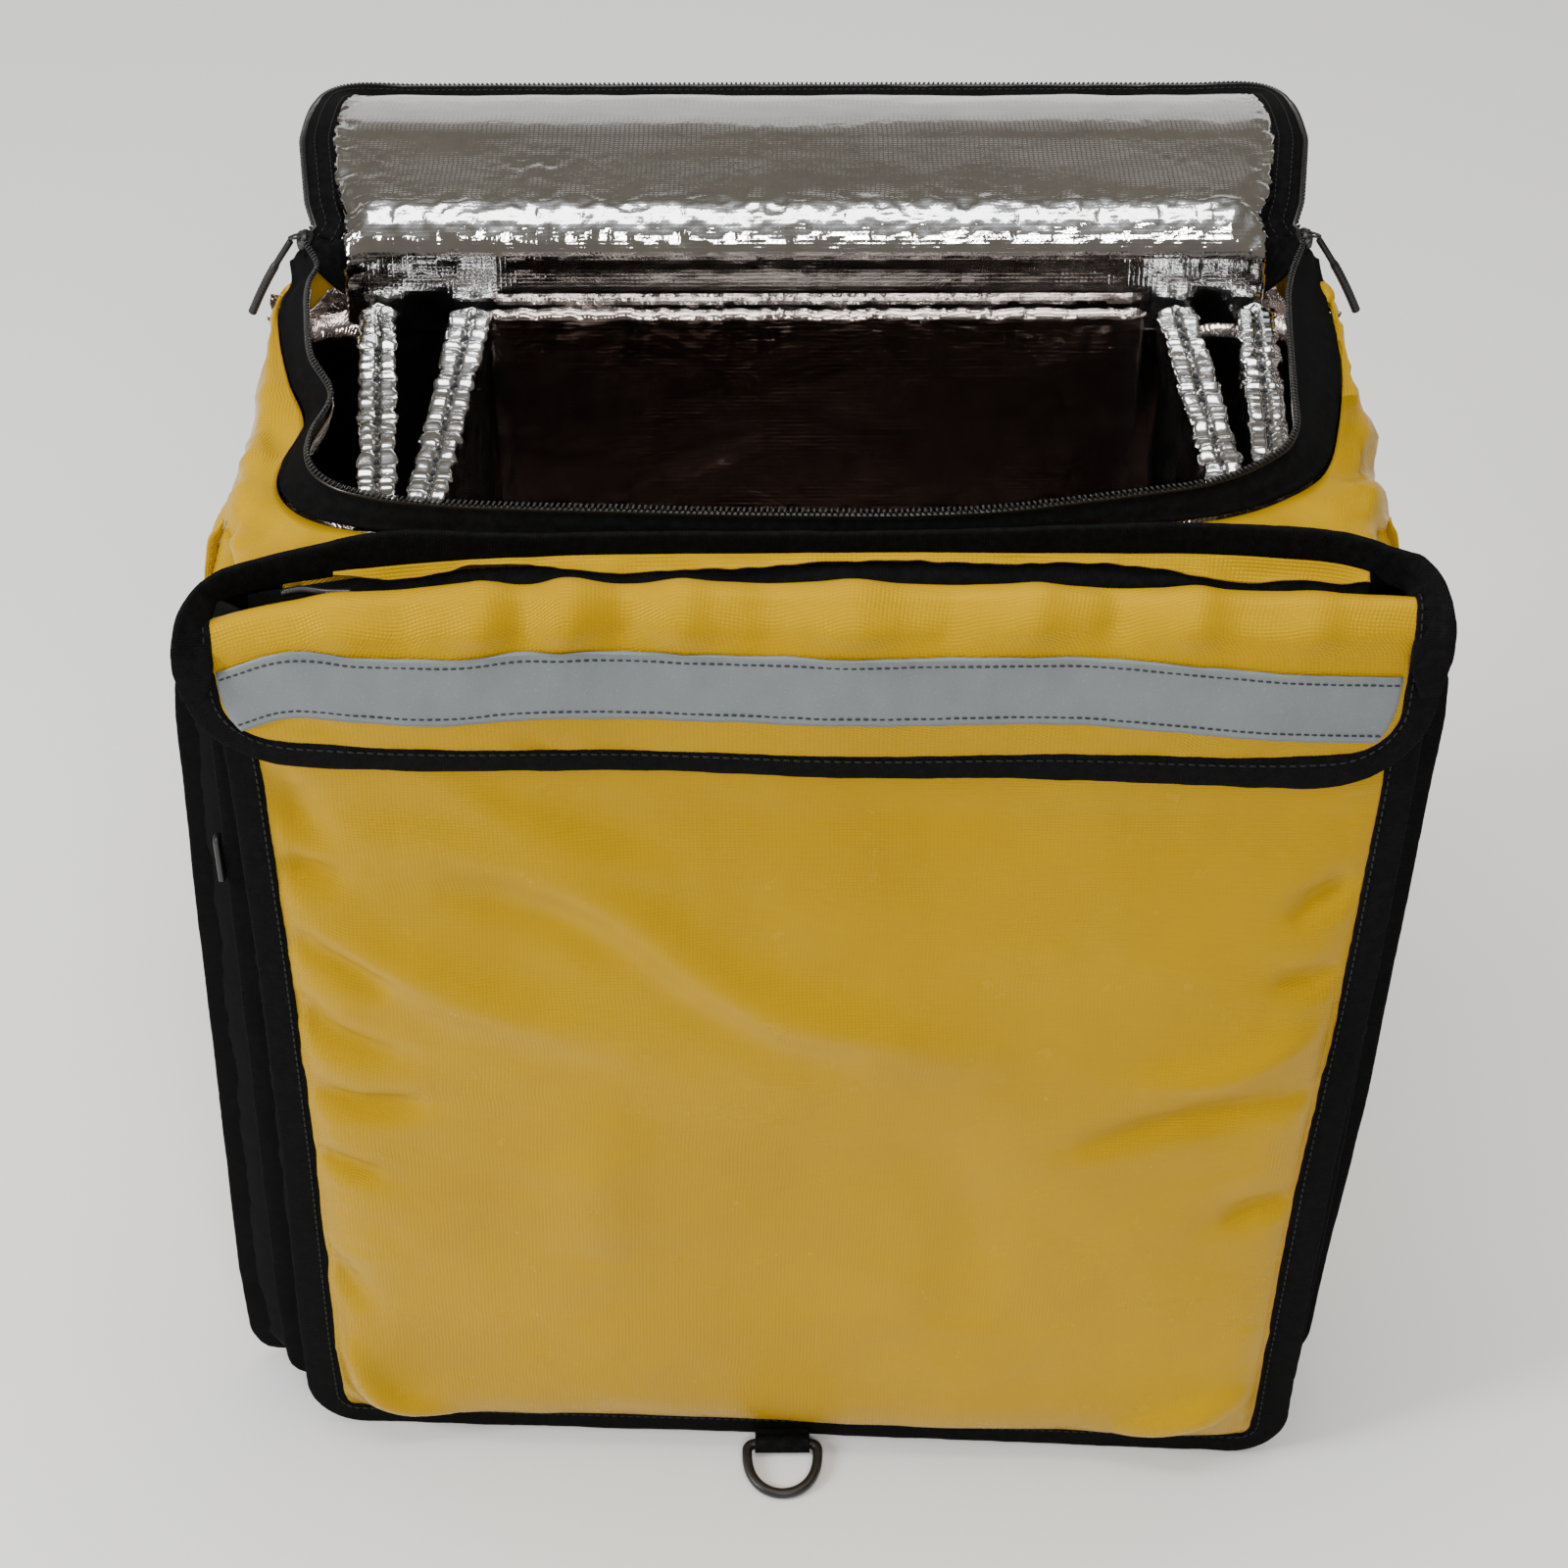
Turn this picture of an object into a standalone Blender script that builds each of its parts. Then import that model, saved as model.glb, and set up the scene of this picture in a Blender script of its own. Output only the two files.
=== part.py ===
"""Insulated delivery backpack, standing with its lid open.

Metres, +Z up, front towards -Y, +X to the right seen from the front.
The origin is the centre of the main body's flat underside.
"""
import math
from collections import namedtuple

import bmesh
import bpy
import numpy as np

# Main body
BODY_HEIGHT = 0.531
BODY_HALF_WIDTH = 0.256
BODY_FRONT = 0.100
BODY_BACK = 0.104
SHELL_WALL = 0.002
LINER_WALL = 0.005
LAYER_GAP = 0.0012
LOOP_COUNT = 40

# Opening and its zip
RIM_HEIGHT = 0.013
RIM_ACROSS = 0.84
RIM_SQUARE = 6
TAPE_WALL = 0.0016
TAPE_LIFT = 0.0012
ZIP_RADIUS = 0.0016

# Lid
LID_DEPTH = 0.174
LID_FALL = 0.017
LID_ARCH = 0.027
LID_HALF_WIDTH = 0.231
LID_BAND = 0.014
LID_CORNER = 0.042
LID_HINGE_GAP = 0.0008
LID_SEAT = 0.0038
LID_ZIP_START = 0.085

# Front pocket
POCKET_FRONT = 0.150
POCKET_HALF_WIDTH = 0.240
POCKET_TOP = BODY_HEIGHT - 0.025
POCKET_FLOOR = 0.0016
POCKET_CORNER = 0.022
POCKET_PUFF = 0.012
POCKET_LEFT_SET_BACK = 0.010
POCKET_RIGHT_FORWARD = 0.012
BINDING_WIDTH = 0.0135
BINDING_WALL = 0.003
PANEL_WALL = 0.002
GUSSET_WALL = 0.002
GUSSET_INSET = 0.0085
GUSSET_SEAT = 0.93
RIDGE_WIDTH = 0.006
PIECE_GAP = 0.0005

# Flap
FLAP_TOP = BODY_HEIGHT
FLAP_LENGTH = 0.094
FLAP_BOTTOM = FLAP_TOP - FLAP_LENGTH
FLAP_HALF_WIDTH = 0.2455
FLAP_CORNER = 0.040
FLAP_STANDOFF = 0.0044
FLAP_PUFF = 0.006
FLAP_FACE_TOP = FLAP_TOP - 0.009
FOLD_DEPTH = 0.010
FOLD_DROP = 0.011
FOLD_END_SHARE = 0.45
REFLECTIVE_WIDTH = 0.033
REFLECTIVE_MIDDLE = FLAP_TOP - 0.051
REFLECTIVE_WALL = 0.0008

# Pocket top behind the flap
ROOT_HEIGHT = BODY_HEIGHT
ROOT_SAG = 0.0035
ROOT_RIDGE = 0.012
ROOT_REACH = 0.972
STRIP_REACH = 0.912
LIP_SETBACK = 0.0029
SHOULDER_SHARE = 0.30
SHOULDER_RISE = 0.0080

# Boards inside
BOARD_TOP = BODY_HEIGHT - 0.028
BOARD_WALL = 0.013
BACK_BOARD_WALL = 0.008

# D-ring and its loop
RING_WIDTH = 0.040
RING_DEPTH = 0.033
RING_WIRE = 0.005
RING_CLEARANCE = 0.0004
RING_X = -0.011
LOOP_WIDTH = 0.027
LOOP_WALL = 0.0015

# Pullers
PULLER_LENGTH = 0.044
PULLER_RADIUS = 0.0021
SLIDER_LENGTH = 0.013
SLIDER_WIDTH = 0.008
SLIDER_HEIGHT = 0.005
PULL_WALL = 0.003
PULL_WIDTH = 0.007
PULL_LENGTH = 0.024

# Shoulder straps on the back
STRAP_WIDTH = 0.065
STRAP_WALL = 0.008
WEBBING_WIDTH = 0.025
WEBBING_WALL = 0.002
BUCKLE_WIDTH = 0.034
BUCKLE_WALL = 0.005

# Body outline at each height, as shares of the body's height, half width, front and back
Section = namedtuple("Section", "height width front back square")
BODY_SECTIONS = (
    Section(0.000, 0.955, 0.79, 0.93, 9),
    Section(0.006, 0.980, 0.83, 0.97, 9),
    Section(0.020, 0.995, 0.86, 1.00, 9),
    Section(0.120, 1.010, 0.88, 1.02, 8),
    Section(0.300, 1.010, 0.92, 1.03, 8),
    Section(0.680, 0.975, 1.00, 1.03, 8),
    Section(0.820, 0.955, 1.04, 1.02, 8),
    Section(0.910, 0.940, 1.07, 1.01, 8),
    Section(0.955, 0.922, 1.06, 1.00, 8),
)

# Teeth line of the opening: place as shares of the body's half width and of its front or back,
# then how far the tape's foot spreads outside the teeth and drops below them, in rim heights
RimPoint = namedtuple("RimPoint", "across along spread drop")
RIM = (
    RimPoint(0.000, 0.91, 0.40, 0.30),
    RimPoint(-0.400, 0.91, 0.40, 0.30),
    RimPoint(-0.660, 0.92, 0.45, 0.30),
    RimPoint(-0.780, 0.95, 0.60, 0.40),
    RimPoint(-0.840, 0.80, 1.10, 0.95),
    RimPoint(-0.848, 0.50, 1.10, 1.00),
    RimPoint(-0.824, 0.12, 0.80, 1.00),
    RimPoint(-0.775, -0.22, 0.95, 1.00),
    RimPoint(-0.797, -0.52, 1.05, 1.00),
    RimPoint(-0.762, -0.80, 0.85, 1.00),
    RimPoint(-0.660, -0.93, 0.60, 1.00),
    RimPoint(-0.400, -1.00, 0.35, 0.95),
    RimPoint(-0.040, -1.04, 0.20, 0.90),
    RimPoint(0.336, -1.00, 0.30, 0.95),
    RimPoint(0.560, -0.88, 0.60, 1.00),
    RimPoint(0.705, -0.72, 0.90, 1.00),
    RimPoint(0.773, -0.53, 1.10, 1.00),
    RimPoint(0.793, -0.20, 1.50, 1.00),
    RimPoint(0.809, 0.21, 1.80, 1.00),
    RimPoint(0.828, 0.62, 1.60, 1.00),
    RimPoint(0.825, 0.93, 1.00, 0.90),
    RimPoint(0.780, 1.00, 0.60, 0.40),
    RimPoint(0.660, 0.93, 0.45, 0.30),
    RimPoint(0.400, 0.91, 0.40, 0.30),
)

# Pocket sides at each height: front edge and outermost ridge, as shares of the pocket's half width
PocketSide = namedtuple("PocketSide", "height left right left_ridge right_ridge")
POCKET_SIDES = (
    PocketSide(0.00, 1.015, 0.975, 1.165, 1.060),
    PocketSide(0.14, 1.012, 0.978, 1.165, 1.068),
    PocketSide(0.40, 0.992, 0.990, 1.138, 1.090),
    PocketSide(0.65, 0.980, 1.012, 1.112, 1.092),
    PocketSide(0.86, 0.976, 1.020, 1.085, 1.092),
    PocketSide(1.00, 0.985, 1.015, 1.050, 1.070),
)

# Pleats of the gusset from the front edge to the body: place across, and how much of the ridge
Pleat = namedtuple("Pleat", "across out")
PLEATS = (
    Pleat(0.00, 0.00),
    Pleat(0.16, -0.15),
    Pleat(0.34, 0.42),
    Pleat(0.52, 0.30),
    Pleat(0.72, 1.00),
    Pleat(0.88, 0.62),
    Pleat(1.00, 0.00),
)

# Dents and ridges pressed into the pocket's front: middle, half size along and across,
# turn in degrees, all as shares of the pocket's half width and top, and height as a share of the puff
Fold = namedtuple("Fold", "across up length width turn height")
POCKET_FOLDS = (
    Fold(-0.40, 0.66, 0.55, 0.050, -28, 0.30),
    Fold(0.20, 0.49, 0.50, 0.045, -10, 0.22),
    Fold(-0.40, 0.58, 0.55, 0.060, -26, -0.22),
    Fold(-0.84, 0.72, 0.16, 0.040, -35, -0.45),
    Fold(-0.84, 0.55, 0.14, 0.035, -20, -0.40),
    Fold(-0.86, 0.42, 0.16, 0.035, 8, -0.40),
    Fold(-0.84, 0.25, 0.16, 0.045, 25, -0.35),
    Fold(-0.80, 0.07, 0.20, 0.040, 38, 0.35),
    Fold(0.86, 0.44, 0.18, 0.035, 14, -0.35),
    Fold(0.84, 0.62, 0.14, 0.035, -25, -0.30),
    Fold(0.78, 0.09, 0.24, 0.050, -20, 0.35),
)

# The flap's rounded fold from its rear edge: place as a share of the fold's depth behind the
# pocket's front, and rise in metres
FoldTurn = namedtuple("FoldTurn", "back rise")
FOLD_TURNS = (
    FoldTurn(1.00, -0.0040),
    FoldTurn(0.30, 0.0000),
    FoldTurn(-0.35, -0.0025),
)

# Root binding seen from above, as shares of the pocket's half width and front
RootPoint = namedtuple("RootPoint", "across forward")
ROOT = (
    RootPoint(-0.975, 0.935),
    RootPoint(-0.920, 0.893),
    RootPoint(-0.800, 0.845),
    RootPoint(-0.630, 0.800),
    RootPoint(-0.400, 0.772),
    RootPoint(0.000, 0.762),
    RootPoint(0.440, 0.765),
    RootPoint(0.760, 0.782),
    RootPoint(0.890, 0.815),
    RootPoint(0.975, 0.890),
)

# Crumpled strip and zip valley between the root binding and the flap: place as a share of that
# span, drop below the binding's foot in root ridges, and how much of the crumple shows
StripPoint = namedtuple("StripPoint", "across drop crumple")
CRUMPLED_STRIP = (
    StripPoint(0.00, -0.25, 0.0),
    StripPoint(0.14, 0.08, 1.0),
    StripPoint(0.28, 0.42, 1.0),
)
ZIP_VALLEY = (
    StripPoint(0.31, 0.475, 1.0),
    StripPoint(0.50, 1.08, 0.0),
    StripPoint(0.72, 0.67, 0.0),
    StripPoint(0.865, -0.17, 0.0),
)
CRUMPLE = 0.0012
ROOT_FACE_GAP = 0.0021

# Boards seen from above: back end, front end and foot, as shares of the body's half width
Board = namedtuple("Board", "name back front foot")
SIDE_BOARDS = (
    Board("side_board_left", -0.745, -0.690, -0.830),
    Board("divider_left", -0.580, -0.620, -0.640),
    Board("divider_right", 0.645, 0.690, 0.700),
    Board("side_board_right", 0.785, 0.755, 0.860),
)

# Shoulder strap: height and place across as shares of the body's, and its stand-off in metres
StrapPoint = namedtuple("StrapPoint", "height across off")
STRAP = (
    StrapPoint(0.885, 0.215, 0.0050),
    StrapPoint(0.860, 0.230, 0.0130),
    StrapPoint(0.800, 0.260, 0.0300),
    StrapPoint(0.700, 0.315, 0.0420),
    StrapPoint(0.580, 0.370, 0.0460),
    StrapPoint(0.460, 0.420, 0.0400),
    StrapPoint(0.360, 0.460, 0.0280),
)
WEBBING = (
    StrapPoint(0.300, 0.487, 0.0190),
    StrapPoint(0.220, 0.525, 0.0120),
    StrapPoint(0.140, 0.570, 0.0060),
    StrapPoint(0.060, 0.620, 0.0018),
)

YELLOW = (0.55, 0.34, 0.005)
BLACK = (0.012, 0.012, 0.013)
FOIL = (0.75, 0.76, 0.78)
GREY = (0.25, 0.29, 0.32)

COLLECTION_NAME = "delivery_backpack"


def clear_scene():
    """Remove every object and make the part's collection."""
    for item in list(bpy.data.objects):
        bpy.data.objects.remove(item, do_unlink=True)
    collection = bpy.data.collections.new(COLLECTION_NAME)
    bpy.context.scene.collection.children.link(collection)
    return collection


def make_material(name, colour, roughness, metallic=0.0):
    material = bpy.data.materials.new(name)
    material.use_nodes = True
    shader = material.node_tree.nodes["Principled BSDF"]
    shader.inputs["Base Color"].default_value = (*colour, 1.0)
    shader.inputs["Roughness"].default_value = roughness
    shader.inputs["Metallic"].default_value = metallic
    return material


def yellow_cloth(name):
    return make_material(name + "_cloth", YELLOW, 0.38)


def black_tape(name):
    return make_material(name + "_tape", BLACK, 0.85)


def black_plastic(name):
    return make_material(name + "_plastic", BLACK, 0.35)


def foil_skin(name):
    return make_material(name + "_foil", FOIL, 0.28, 1.0)


def reflective_tape(name):
    return make_material(name + "_tape", GREY, 0.45)


def add_object(name, mesh, material):
    item = bpy.data.objects.new(name, mesh)
    mesh.materials.append(material)
    PART.objects.link(item)
    return item


def shade(mesh, angle=math.radians(50)):
    mesh.shade_smooth()
    mesh.set_sharp_from_angle(angle=angle)


def grid_object(name, rows, material, wall, closed=False, cap=False, offset=0.0):
    """An open surface through rows of points, thickened into a sheet."""
    count = len(rows[0])
    points = [tuple(point) for row in rows for point in row]
    last = count if closed else count - 1
    faces = []
    for row in range(len(rows) - 1):
        for column in range(last):
            following = (column + 1) % count
            start = row * count
            above = start + count
            faces.append((start + column, start + following, above + following, above + column))
    if cap:
        faces.append(tuple(reversed(range(count))))
    mesh = bpy.data.meshes.new(name)
    mesh.from_pydata(points, [], faces)
    mesh.validate()
    shade(mesh)
    item = add_object(name, mesh, material)
    thicken = item.modifiers.new("wall", "SOLIDIFY")
    thicken.thickness = wall
    thicken.offset = offset
    return item


def tube_object(name, points, radius, material, cyclic=False, resolution=2):
    """A round cord or wire through a few points."""
    curve = bpy.data.curves.new(name, "CURVE")
    curve.dimensions = "3D"
    curve.bevel_depth = radius
    curve.bevel_resolution = resolution
    curve.use_fill_caps = True
    spline = curve.splines.new("POLY")
    spline.points.add(len(points) - 1)
    for place, point in zip(spline.points, points):
        place.co = (*point, 1.0)
    spline.use_cyclic_u = cyclic
    curve.materials.append(material)
    item = bpy.data.objects.new(name, curve)
    PART.objects.link(item)
    return item


def box_object(name, size, material, bevel):
    """A box with softened edges, centred on its own origin."""
    mesh = bpy.data.meshes.new(name)
    shape = bmesh.new()
    bmesh.ops.create_cube(shape, size=1.0)
    bmesh.ops.scale(shape, vec=size, verts=shape.verts)
    shape.to_mesh(mesh)
    shape.free()
    item = add_object(name, mesh, material)
    soften = item.modifiers.new("edges", "BEVEL")
    soften.width = bevel
    soften.segments = 1
    return item


def column(rows, name):
    return np.array([getattr(row, name) for row in rows])


def body_size(height):
    """Half width, front, back and squareness of the body at a height."""
    share = height / BODY_HEIGHT
    heights = column(BODY_SECTIONS, "height")
    wide = BODY_HALF_WIDTH * np.interp(share, heights, column(BODY_SECTIONS, "width"))
    front = BODY_FRONT * np.interp(share, heights, column(BODY_SECTIONS, "front"))
    back = BODY_BACK * np.interp(share, heights, column(BODY_SECTIONS, "back"))
    square = np.interp(share, heights, column(BODY_SECTIONS, "square"))
    return wide, front, back, square


def squared_loop(wide, deep, square, angles):
    """Distance from the middle to a rounded rectangle along each angle."""
    across = np.abs(np.cos(angles) / wide) ** square
    along = np.abs(np.sin(angles) / deep) ** square
    return (across + along) ** (-1.0 / square)


def loop_angles():
    """Angles that share out the body's outline evenly, closer together in the corners."""
    fine = np.linspace(0.0, 2.0 * math.pi, 4001)
    deep = (BODY_FRONT + BODY_BACK) / 2.0
    reach = squared_loop(BODY_HALF_WIDTH, deep, 8, fine)
    place = np.stack([reach * np.cos(fine), reach * np.sin(fine)], axis=1)
    step = np.diff(place, axis=0)
    length = np.hypot(step[:, 0], step[:, 1])
    heading = np.unwrap(np.arctan2(step[:, 1], step[:, 0]))
    turning = np.append(np.abs(np.diff(heading)), 0.0)
    travel = np.concatenate([[0.0], np.cumsum(length / length.sum() + turning / turning.sum())])
    wanted = np.linspace(0.0, travel[-1], LOOP_COUNT, endpoint=False)
    return np.interp(wanted, travel, fine)


def body_ring(height, inset=0.0, lift=0.0):
    """The body's outline at a height, moved in by an inset."""
    wide, front, back, square = body_size(height)
    middle = (back - front) / 2.0
    reach = squared_loop(wide - inset, (front + back) / 2.0 - inset, square, ANGLES)
    ring = np.stack([reach * np.cos(ANGLES), middle + reach * np.sin(ANGLES)], axis=1)
    level = np.full((len(ANGLES), 1), height + lift)
    return np.hstack([ring, level])


def smooth_loop(at, knots, values):
    """A closed smooth curve through a few knots, in angle."""
    turn = 2.0 * math.pi
    places = np.concatenate([knots[-2:] - turn, knots, knots[:3] + turn])
    heights = np.concatenate([values[-2:], values, values[:3]])
    slopes = np.gradient(heights, places)
    turned = (at - knots[0]) % turn + knots[0]
    low = np.clip(np.searchsorted(places, turned, side="right") - 1, 1, len(places) - 2)
    span = places[low + 1] - places[low]
    share = (turned - places[low]) / span
    square, cube = share ** 2, share ** 3
    return (heights[low] * (2 * cube - 3 * square + 1)
            + heights[low + 1] * (3 * square - 2 * cube)
            + slopes[low] * span * (cube - 2 * square + share)
            + slopes[low + 1] * span * (cube - square))


def rim_rings():
    """Teeth line and tape foot of the opening at the loop's angles."""
    across = BODY_HALF_WIDTH * column(RIM, "across")
    share = column(RIM, "along")
    along = np.where(share > 0.0, BODY_BACK, BODY_FRONT) * share
    knots = np.unwrap(np.arctan2(along, across))
    size = (BODY_HALF_WIDTH * RIM_ACROSS, (BODY_FRONT + BODY_BACK) / 2.0, RIM_SQUARE)
    stretch = np.hypot(across, along) / squared_loop(*size, knots)
    reach = squared_loop(*size, ANGLES) * smooth_loop(ANGLES, knots, stretch)
    spread = RIM_HEIGHT * smooth_loop(ANGLES, knots, column(RIM, "spread"))
    drop = RIM_HEIGHT * smooth_loop(ANGLES, knots, column(RIM, "drop"))
    ahead = np.stack([np.cos(ANGLES), np.sin(ANGLES)], axis=1)
    top = np.full(len(ANGLES), BODY_HEIGHT)
    teeth = np.hstack([ahead * reach[:, None], top[:, None]])
    foot = np.hstack([ahead * (reach + spread)[:, None], (top - drop)[:, None]])
    return teeth, foot


def moved(ring, inward=0.0, down=0.0):
    """A ring drawn in square to its own outline, and lowered."""
    along = np.roll(ring, -1, axis=0) - np.roll(ring, 1, axis=0)
    length = np.hypot(along[:, 0], along[:, 1])
    result = ring.copy()
    result[:, 0] -= inward * along[:, 1] / length
    result[:, 1] += inward * along[:, 0] / length
    result[:, 2] -= down
    return result


def shoulder(top_ring, foot, share, rise):
    """A ring part of the way from the body's top to the tape's foot."""
    ring = top_ring + (foot - top_ring) * share
    ring[:, 2] += rise
    return ring


def with_lip(ring):
    """A ring whose front edge comes forward to the root of the pocket's flap."""
    result = ring.copy()
    for point in result:
        push = min(1.0, max(0.0, (-point[1] / BODY_FRONT - 0.60) / 0.35))
        point[1] += (root_line(point[0]) + LIP_SETBACK - point[1]) * push
    return result


def build_main_shell():
    heights = [section.height * BODY_HEIGHT for section in BODY_SECTIONS]
    rings = [body_ring(height) for height in heights]
    rings.append(with_lip(shoulder(rings[-1], FOOT, SHOULDER_SHARE, SHOULDER_RISE)))
    rings.append(FOOT)
    return grid_object("main_shell", rings, yellow_cloth("main_shell"), SHELL_WALL,
                       closed=True, cap=True, offset=-1.0)


def build_inner_liner():
    depth = SHELL_WALL + LAYER_GAP
    kept = BODY_SECTIONS[2:-1:2] + BODY_SECTIONS[-1:]
    heights = [section.height * BODY_HEIGHT for section in kept]
    bottom = body_ring(heights[0], depth + 0.006)
    bottom[:, 2] = depth
    rings = [bottom]
    rings.extend(body_ring(height, depth) for height in heights)
    top = moved(rings[-1], depth * 0.6, depth * 1.5)
    rings[-1] = top
    lowered = moved(FOOT, depth * 3.4, depth * 1.6)
    rings.append(shoulder(top, lowered, 0.5, 0.0))
    rings.append(lowered)
    return grid_object("inner_liner", rings, foil_skin("inner_liner"), LINER_WALL,
                       closed=True, cap=True, offset=-1.0)


def rim_order():
    """Loop places from the left hinge corner round the front to the right one."""
    turn = ANGLES % (2.0 * math.pi)
    start = math.atan2(BODY_BACK * 0.78, -BODY_HALF_WIDTH * 0.83)
    end = math.atan2(BODY_BACK * 0.70, BODY_HALF_WIDTH * 0.83) + 2.0 * math.pi
    chosen = [(angle + (2.0 * math.pi if angle < start else 0.0), index)
              for index, angle in enumerate(turn)]
    return [index for angle, index in sorted(chosen) if start <= angle <= end]


def build_rim():
    order = rim_order()
    foot = moved(FOOT, TAPE_LIFT, -TAPE_LIFT)[order]
    teeth = TEETH[order]
    grid_object("rim_band", [foot, teeth], black_tape("rim_band"), TAPE_WALL)
    bead = teeth.copy()
    bead[:, 2] += ZIP_RADIUS + 1.4 * PIECE_GAP
    tube_object("rim_zip", bead, ZIP_RADIUS, black_plastic("rim_zip"), resolution=0)


def lid_point(share, lift=0.0):
    """Place in Y and Z along the lid's arch, from hinge to far edge."""
    start = BODY_BACK * 0.945
    slope = (LID_ARCH * 4.0 * (1.0 - 2.0 * share) - LID_FALL) / LID_DEPTH
    along = start + LID_DEPTH * share
    up = BODY_HEIGHT - LID_SEAT - LID_FALL * share + LID_ARCH * 4.0 * share * (1.0 - share)
    length = math.hypot(1.0, slope)
    return along - lift * slope / length, up + lift / length


def lid_half_width(share):
    """The lid swells from the hinge to its middle."""
    return LID_HALF_WIDTH * np.interp(share, [0.0, 0.15, 0.4, 1.0], [0.925, 0.965, 0.995, 1.0])


def corner_cut(distance, radius):
    """How far a rounded corner draws a side in, at a distance from the end."""
    if distance >= radius:
        return 0.0
    return radius - math.sqrt(max(radius ** 2 - (radius - distance) ** 2, 0.0))


def lid_stations(inset):
    """Places along the lid and how far its rounded far corners draw in there."""
    corner = 1.0 - LID_CORNER / LID_DEPTH
    reach = LID_CORNER - inset
    straight = np.linspace(LID_ZIP_START, corner, 5)
    turns = np.linspace(0.0, math.pi / 2.0, 5)[1:]
    stations = [(share, 0.0) for share in straight]
    stations += [(corner + reach * math.sin(turn) / LID_DEPTH, reach * (1.0 - math.cos(turn)))
                 for turn in turns]
    return stations


def lid_side(share):
    """Half width of the lid, straight past the start of its corners."""
    return lid_half_width(min(share, 1.0 - LID_CORNER / LID_DEPTH))


def lid_rows(inset, first, lift, columns):
    """Rows of points across the lid, rounded at its far corners."""
    rows = []
    for share, cut in [(first, 0.0)] + lid_stations(inset):
        along, up = lid_point(share, lift)
        half = lid_side(share) - inset - cut
        rows.append([(half * place, along, up) for place in np.linspace(-1.0, 1.0, columns)])
    return rows


def lid_edge(inset):
    """The lid's outline: left side out from the hinge, far edge, right side back."""
    left = []
    for share, cut in lid_stations(inset):
        along, up = lid_point(share)
        left.append((inset + cut - lid_side(share), along, up))
    start = left[-1]
    half_edge = left + [(start[0] * place, start[1], start[2]) for place in (0.6, 0.2)]
    mirrored = [(-point[0], point[1], point[2]) for point in reversed(half_edge)]
    return np.array(half_edge + mirrored)


def build_lid():
    inset = LID_BAND + PIECE_GAP
    first = (LID_HINGE_GAP + SHELL_WALL) / LID_DEPTH
    grid_object("lid_shell", lid_rows(inset, first, 0.0, 9), yellow_cloth("lid_shell"), SHELL_WALL)
    lift = SHELL_WALL / 2.0 + PIECE_GAP + LINER_WALL / 2.0
    grid_object("lid_liner", lid_rows(inset, first + 0.02, lift, 9), foil_skin("lid_liner"),
                LINER_WALL)
    grid_object("lid_band", [lid_edge(LID_BAND), lid_edge(0.0)], black_tape("lid_band"), TAPE_WALL)
    tube_object("lid_zip", lid_edge(-ZIP_RADIUS - PIECE_GAP), ZIP_RADIUS,
                black_plastic("lid_zip"), resolution=0)


def build_boards():
    liner = SHELL_WALL + LAYER_GAP + LINER_WALL
    floor = SHELL_WALL + LAYER_GAP + LINER_WALL + PIECE_GAP
    front = BODY_FRONT * 0.81 - liner - PIECE_GAP
    back = BODY_BACK * 0.91 - liner - PIECE_GAP
    height = BOARD_TOP - floor
    half = BODY_HALF_WIDTH * 0.575
    panel = box_object("back_board", (2.0 * half, BACK_BOARD_WALL, height),
                       foil_skin("back_board"), 0.003)
    panel.location = (BODY_HALF_WIDTH * 0.02, back - BACK_BOARD_WALL / 2.0, floor + height / 2.0)
    for board in SIDE_BOARDS:
        rows = []
        for share in (0.0, 0.5, 1.0):
            up = floor + height * share
            lean = (1.0 - share) * (board.foot - (board.back + board.front) / 2.0)
            ends = ((board.back + lean, back), (board.front + lean, -front))
            rows.append([(BODY_HALF_WIDTH * (ends[0][0] * (1.0 - part) + ends[1][0] * part),
                          ends[0][1] * (1.0 - part) + ends[1][1] * part, up)
                         for part in (0.0, 0.33, 0.67, 1.0)])
        wall = grid_object(board.name, rows, foil_skin(board.name), BOARD_WALL)
        soften = wall.modifiers.new("edges", "BEVEL")
        soften.width = BOARD_WALL * 0.3
        soften.segments = 1
        soften.limit_method = "ANGLE"


def pocket_side(name, height):
    rows = POCKET_SIDES
    share = height / POCKET_TOP
    return POCKET_HALF_WIDTH * float(np.interp(share, column(rows, "height"), column(rows, name)))


def pocket_left(height):
    return -pocket_side("left", height)


def pocket_right(height):
    return pocket_side("right", height)


def pocket_base_y(x, z):
    """The pocket's front plane, with its left foot set back and its right foot forward."""
    low = max(0.0, 1.0 - z / POCKET_TOP)
    across = x / POCKET_HALF_WIDTH
    skew = -POCKET_LEFT_SET_BACK * min(across, 0.0) - POCKET_RIGHT_FORWARD * max(across, 0.0)
    return -POCKET_FRONT + skew * low


def fold_height(across, up):
    """Sum of the soft folds at a place on the pocket's front, in puffs."""
    total = 0.0
    for fold in POCKET_FOLDS:
        turn = math.radians(fold.turn)
        side = across - fold.across
        rise = (up - fold.up) * POCKET_TOP / POCKET_HALF_WIDTH
        along = (side * math.cos(turn) + rise * math.sin(turn)) / fold.length
        over = (rise * math.cos(turn) - side * math.sin(turn)) / fold.width
        total += fold.height * math.exp(-along ** 2 * 3.0 - over ** 2)
    return total


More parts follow.
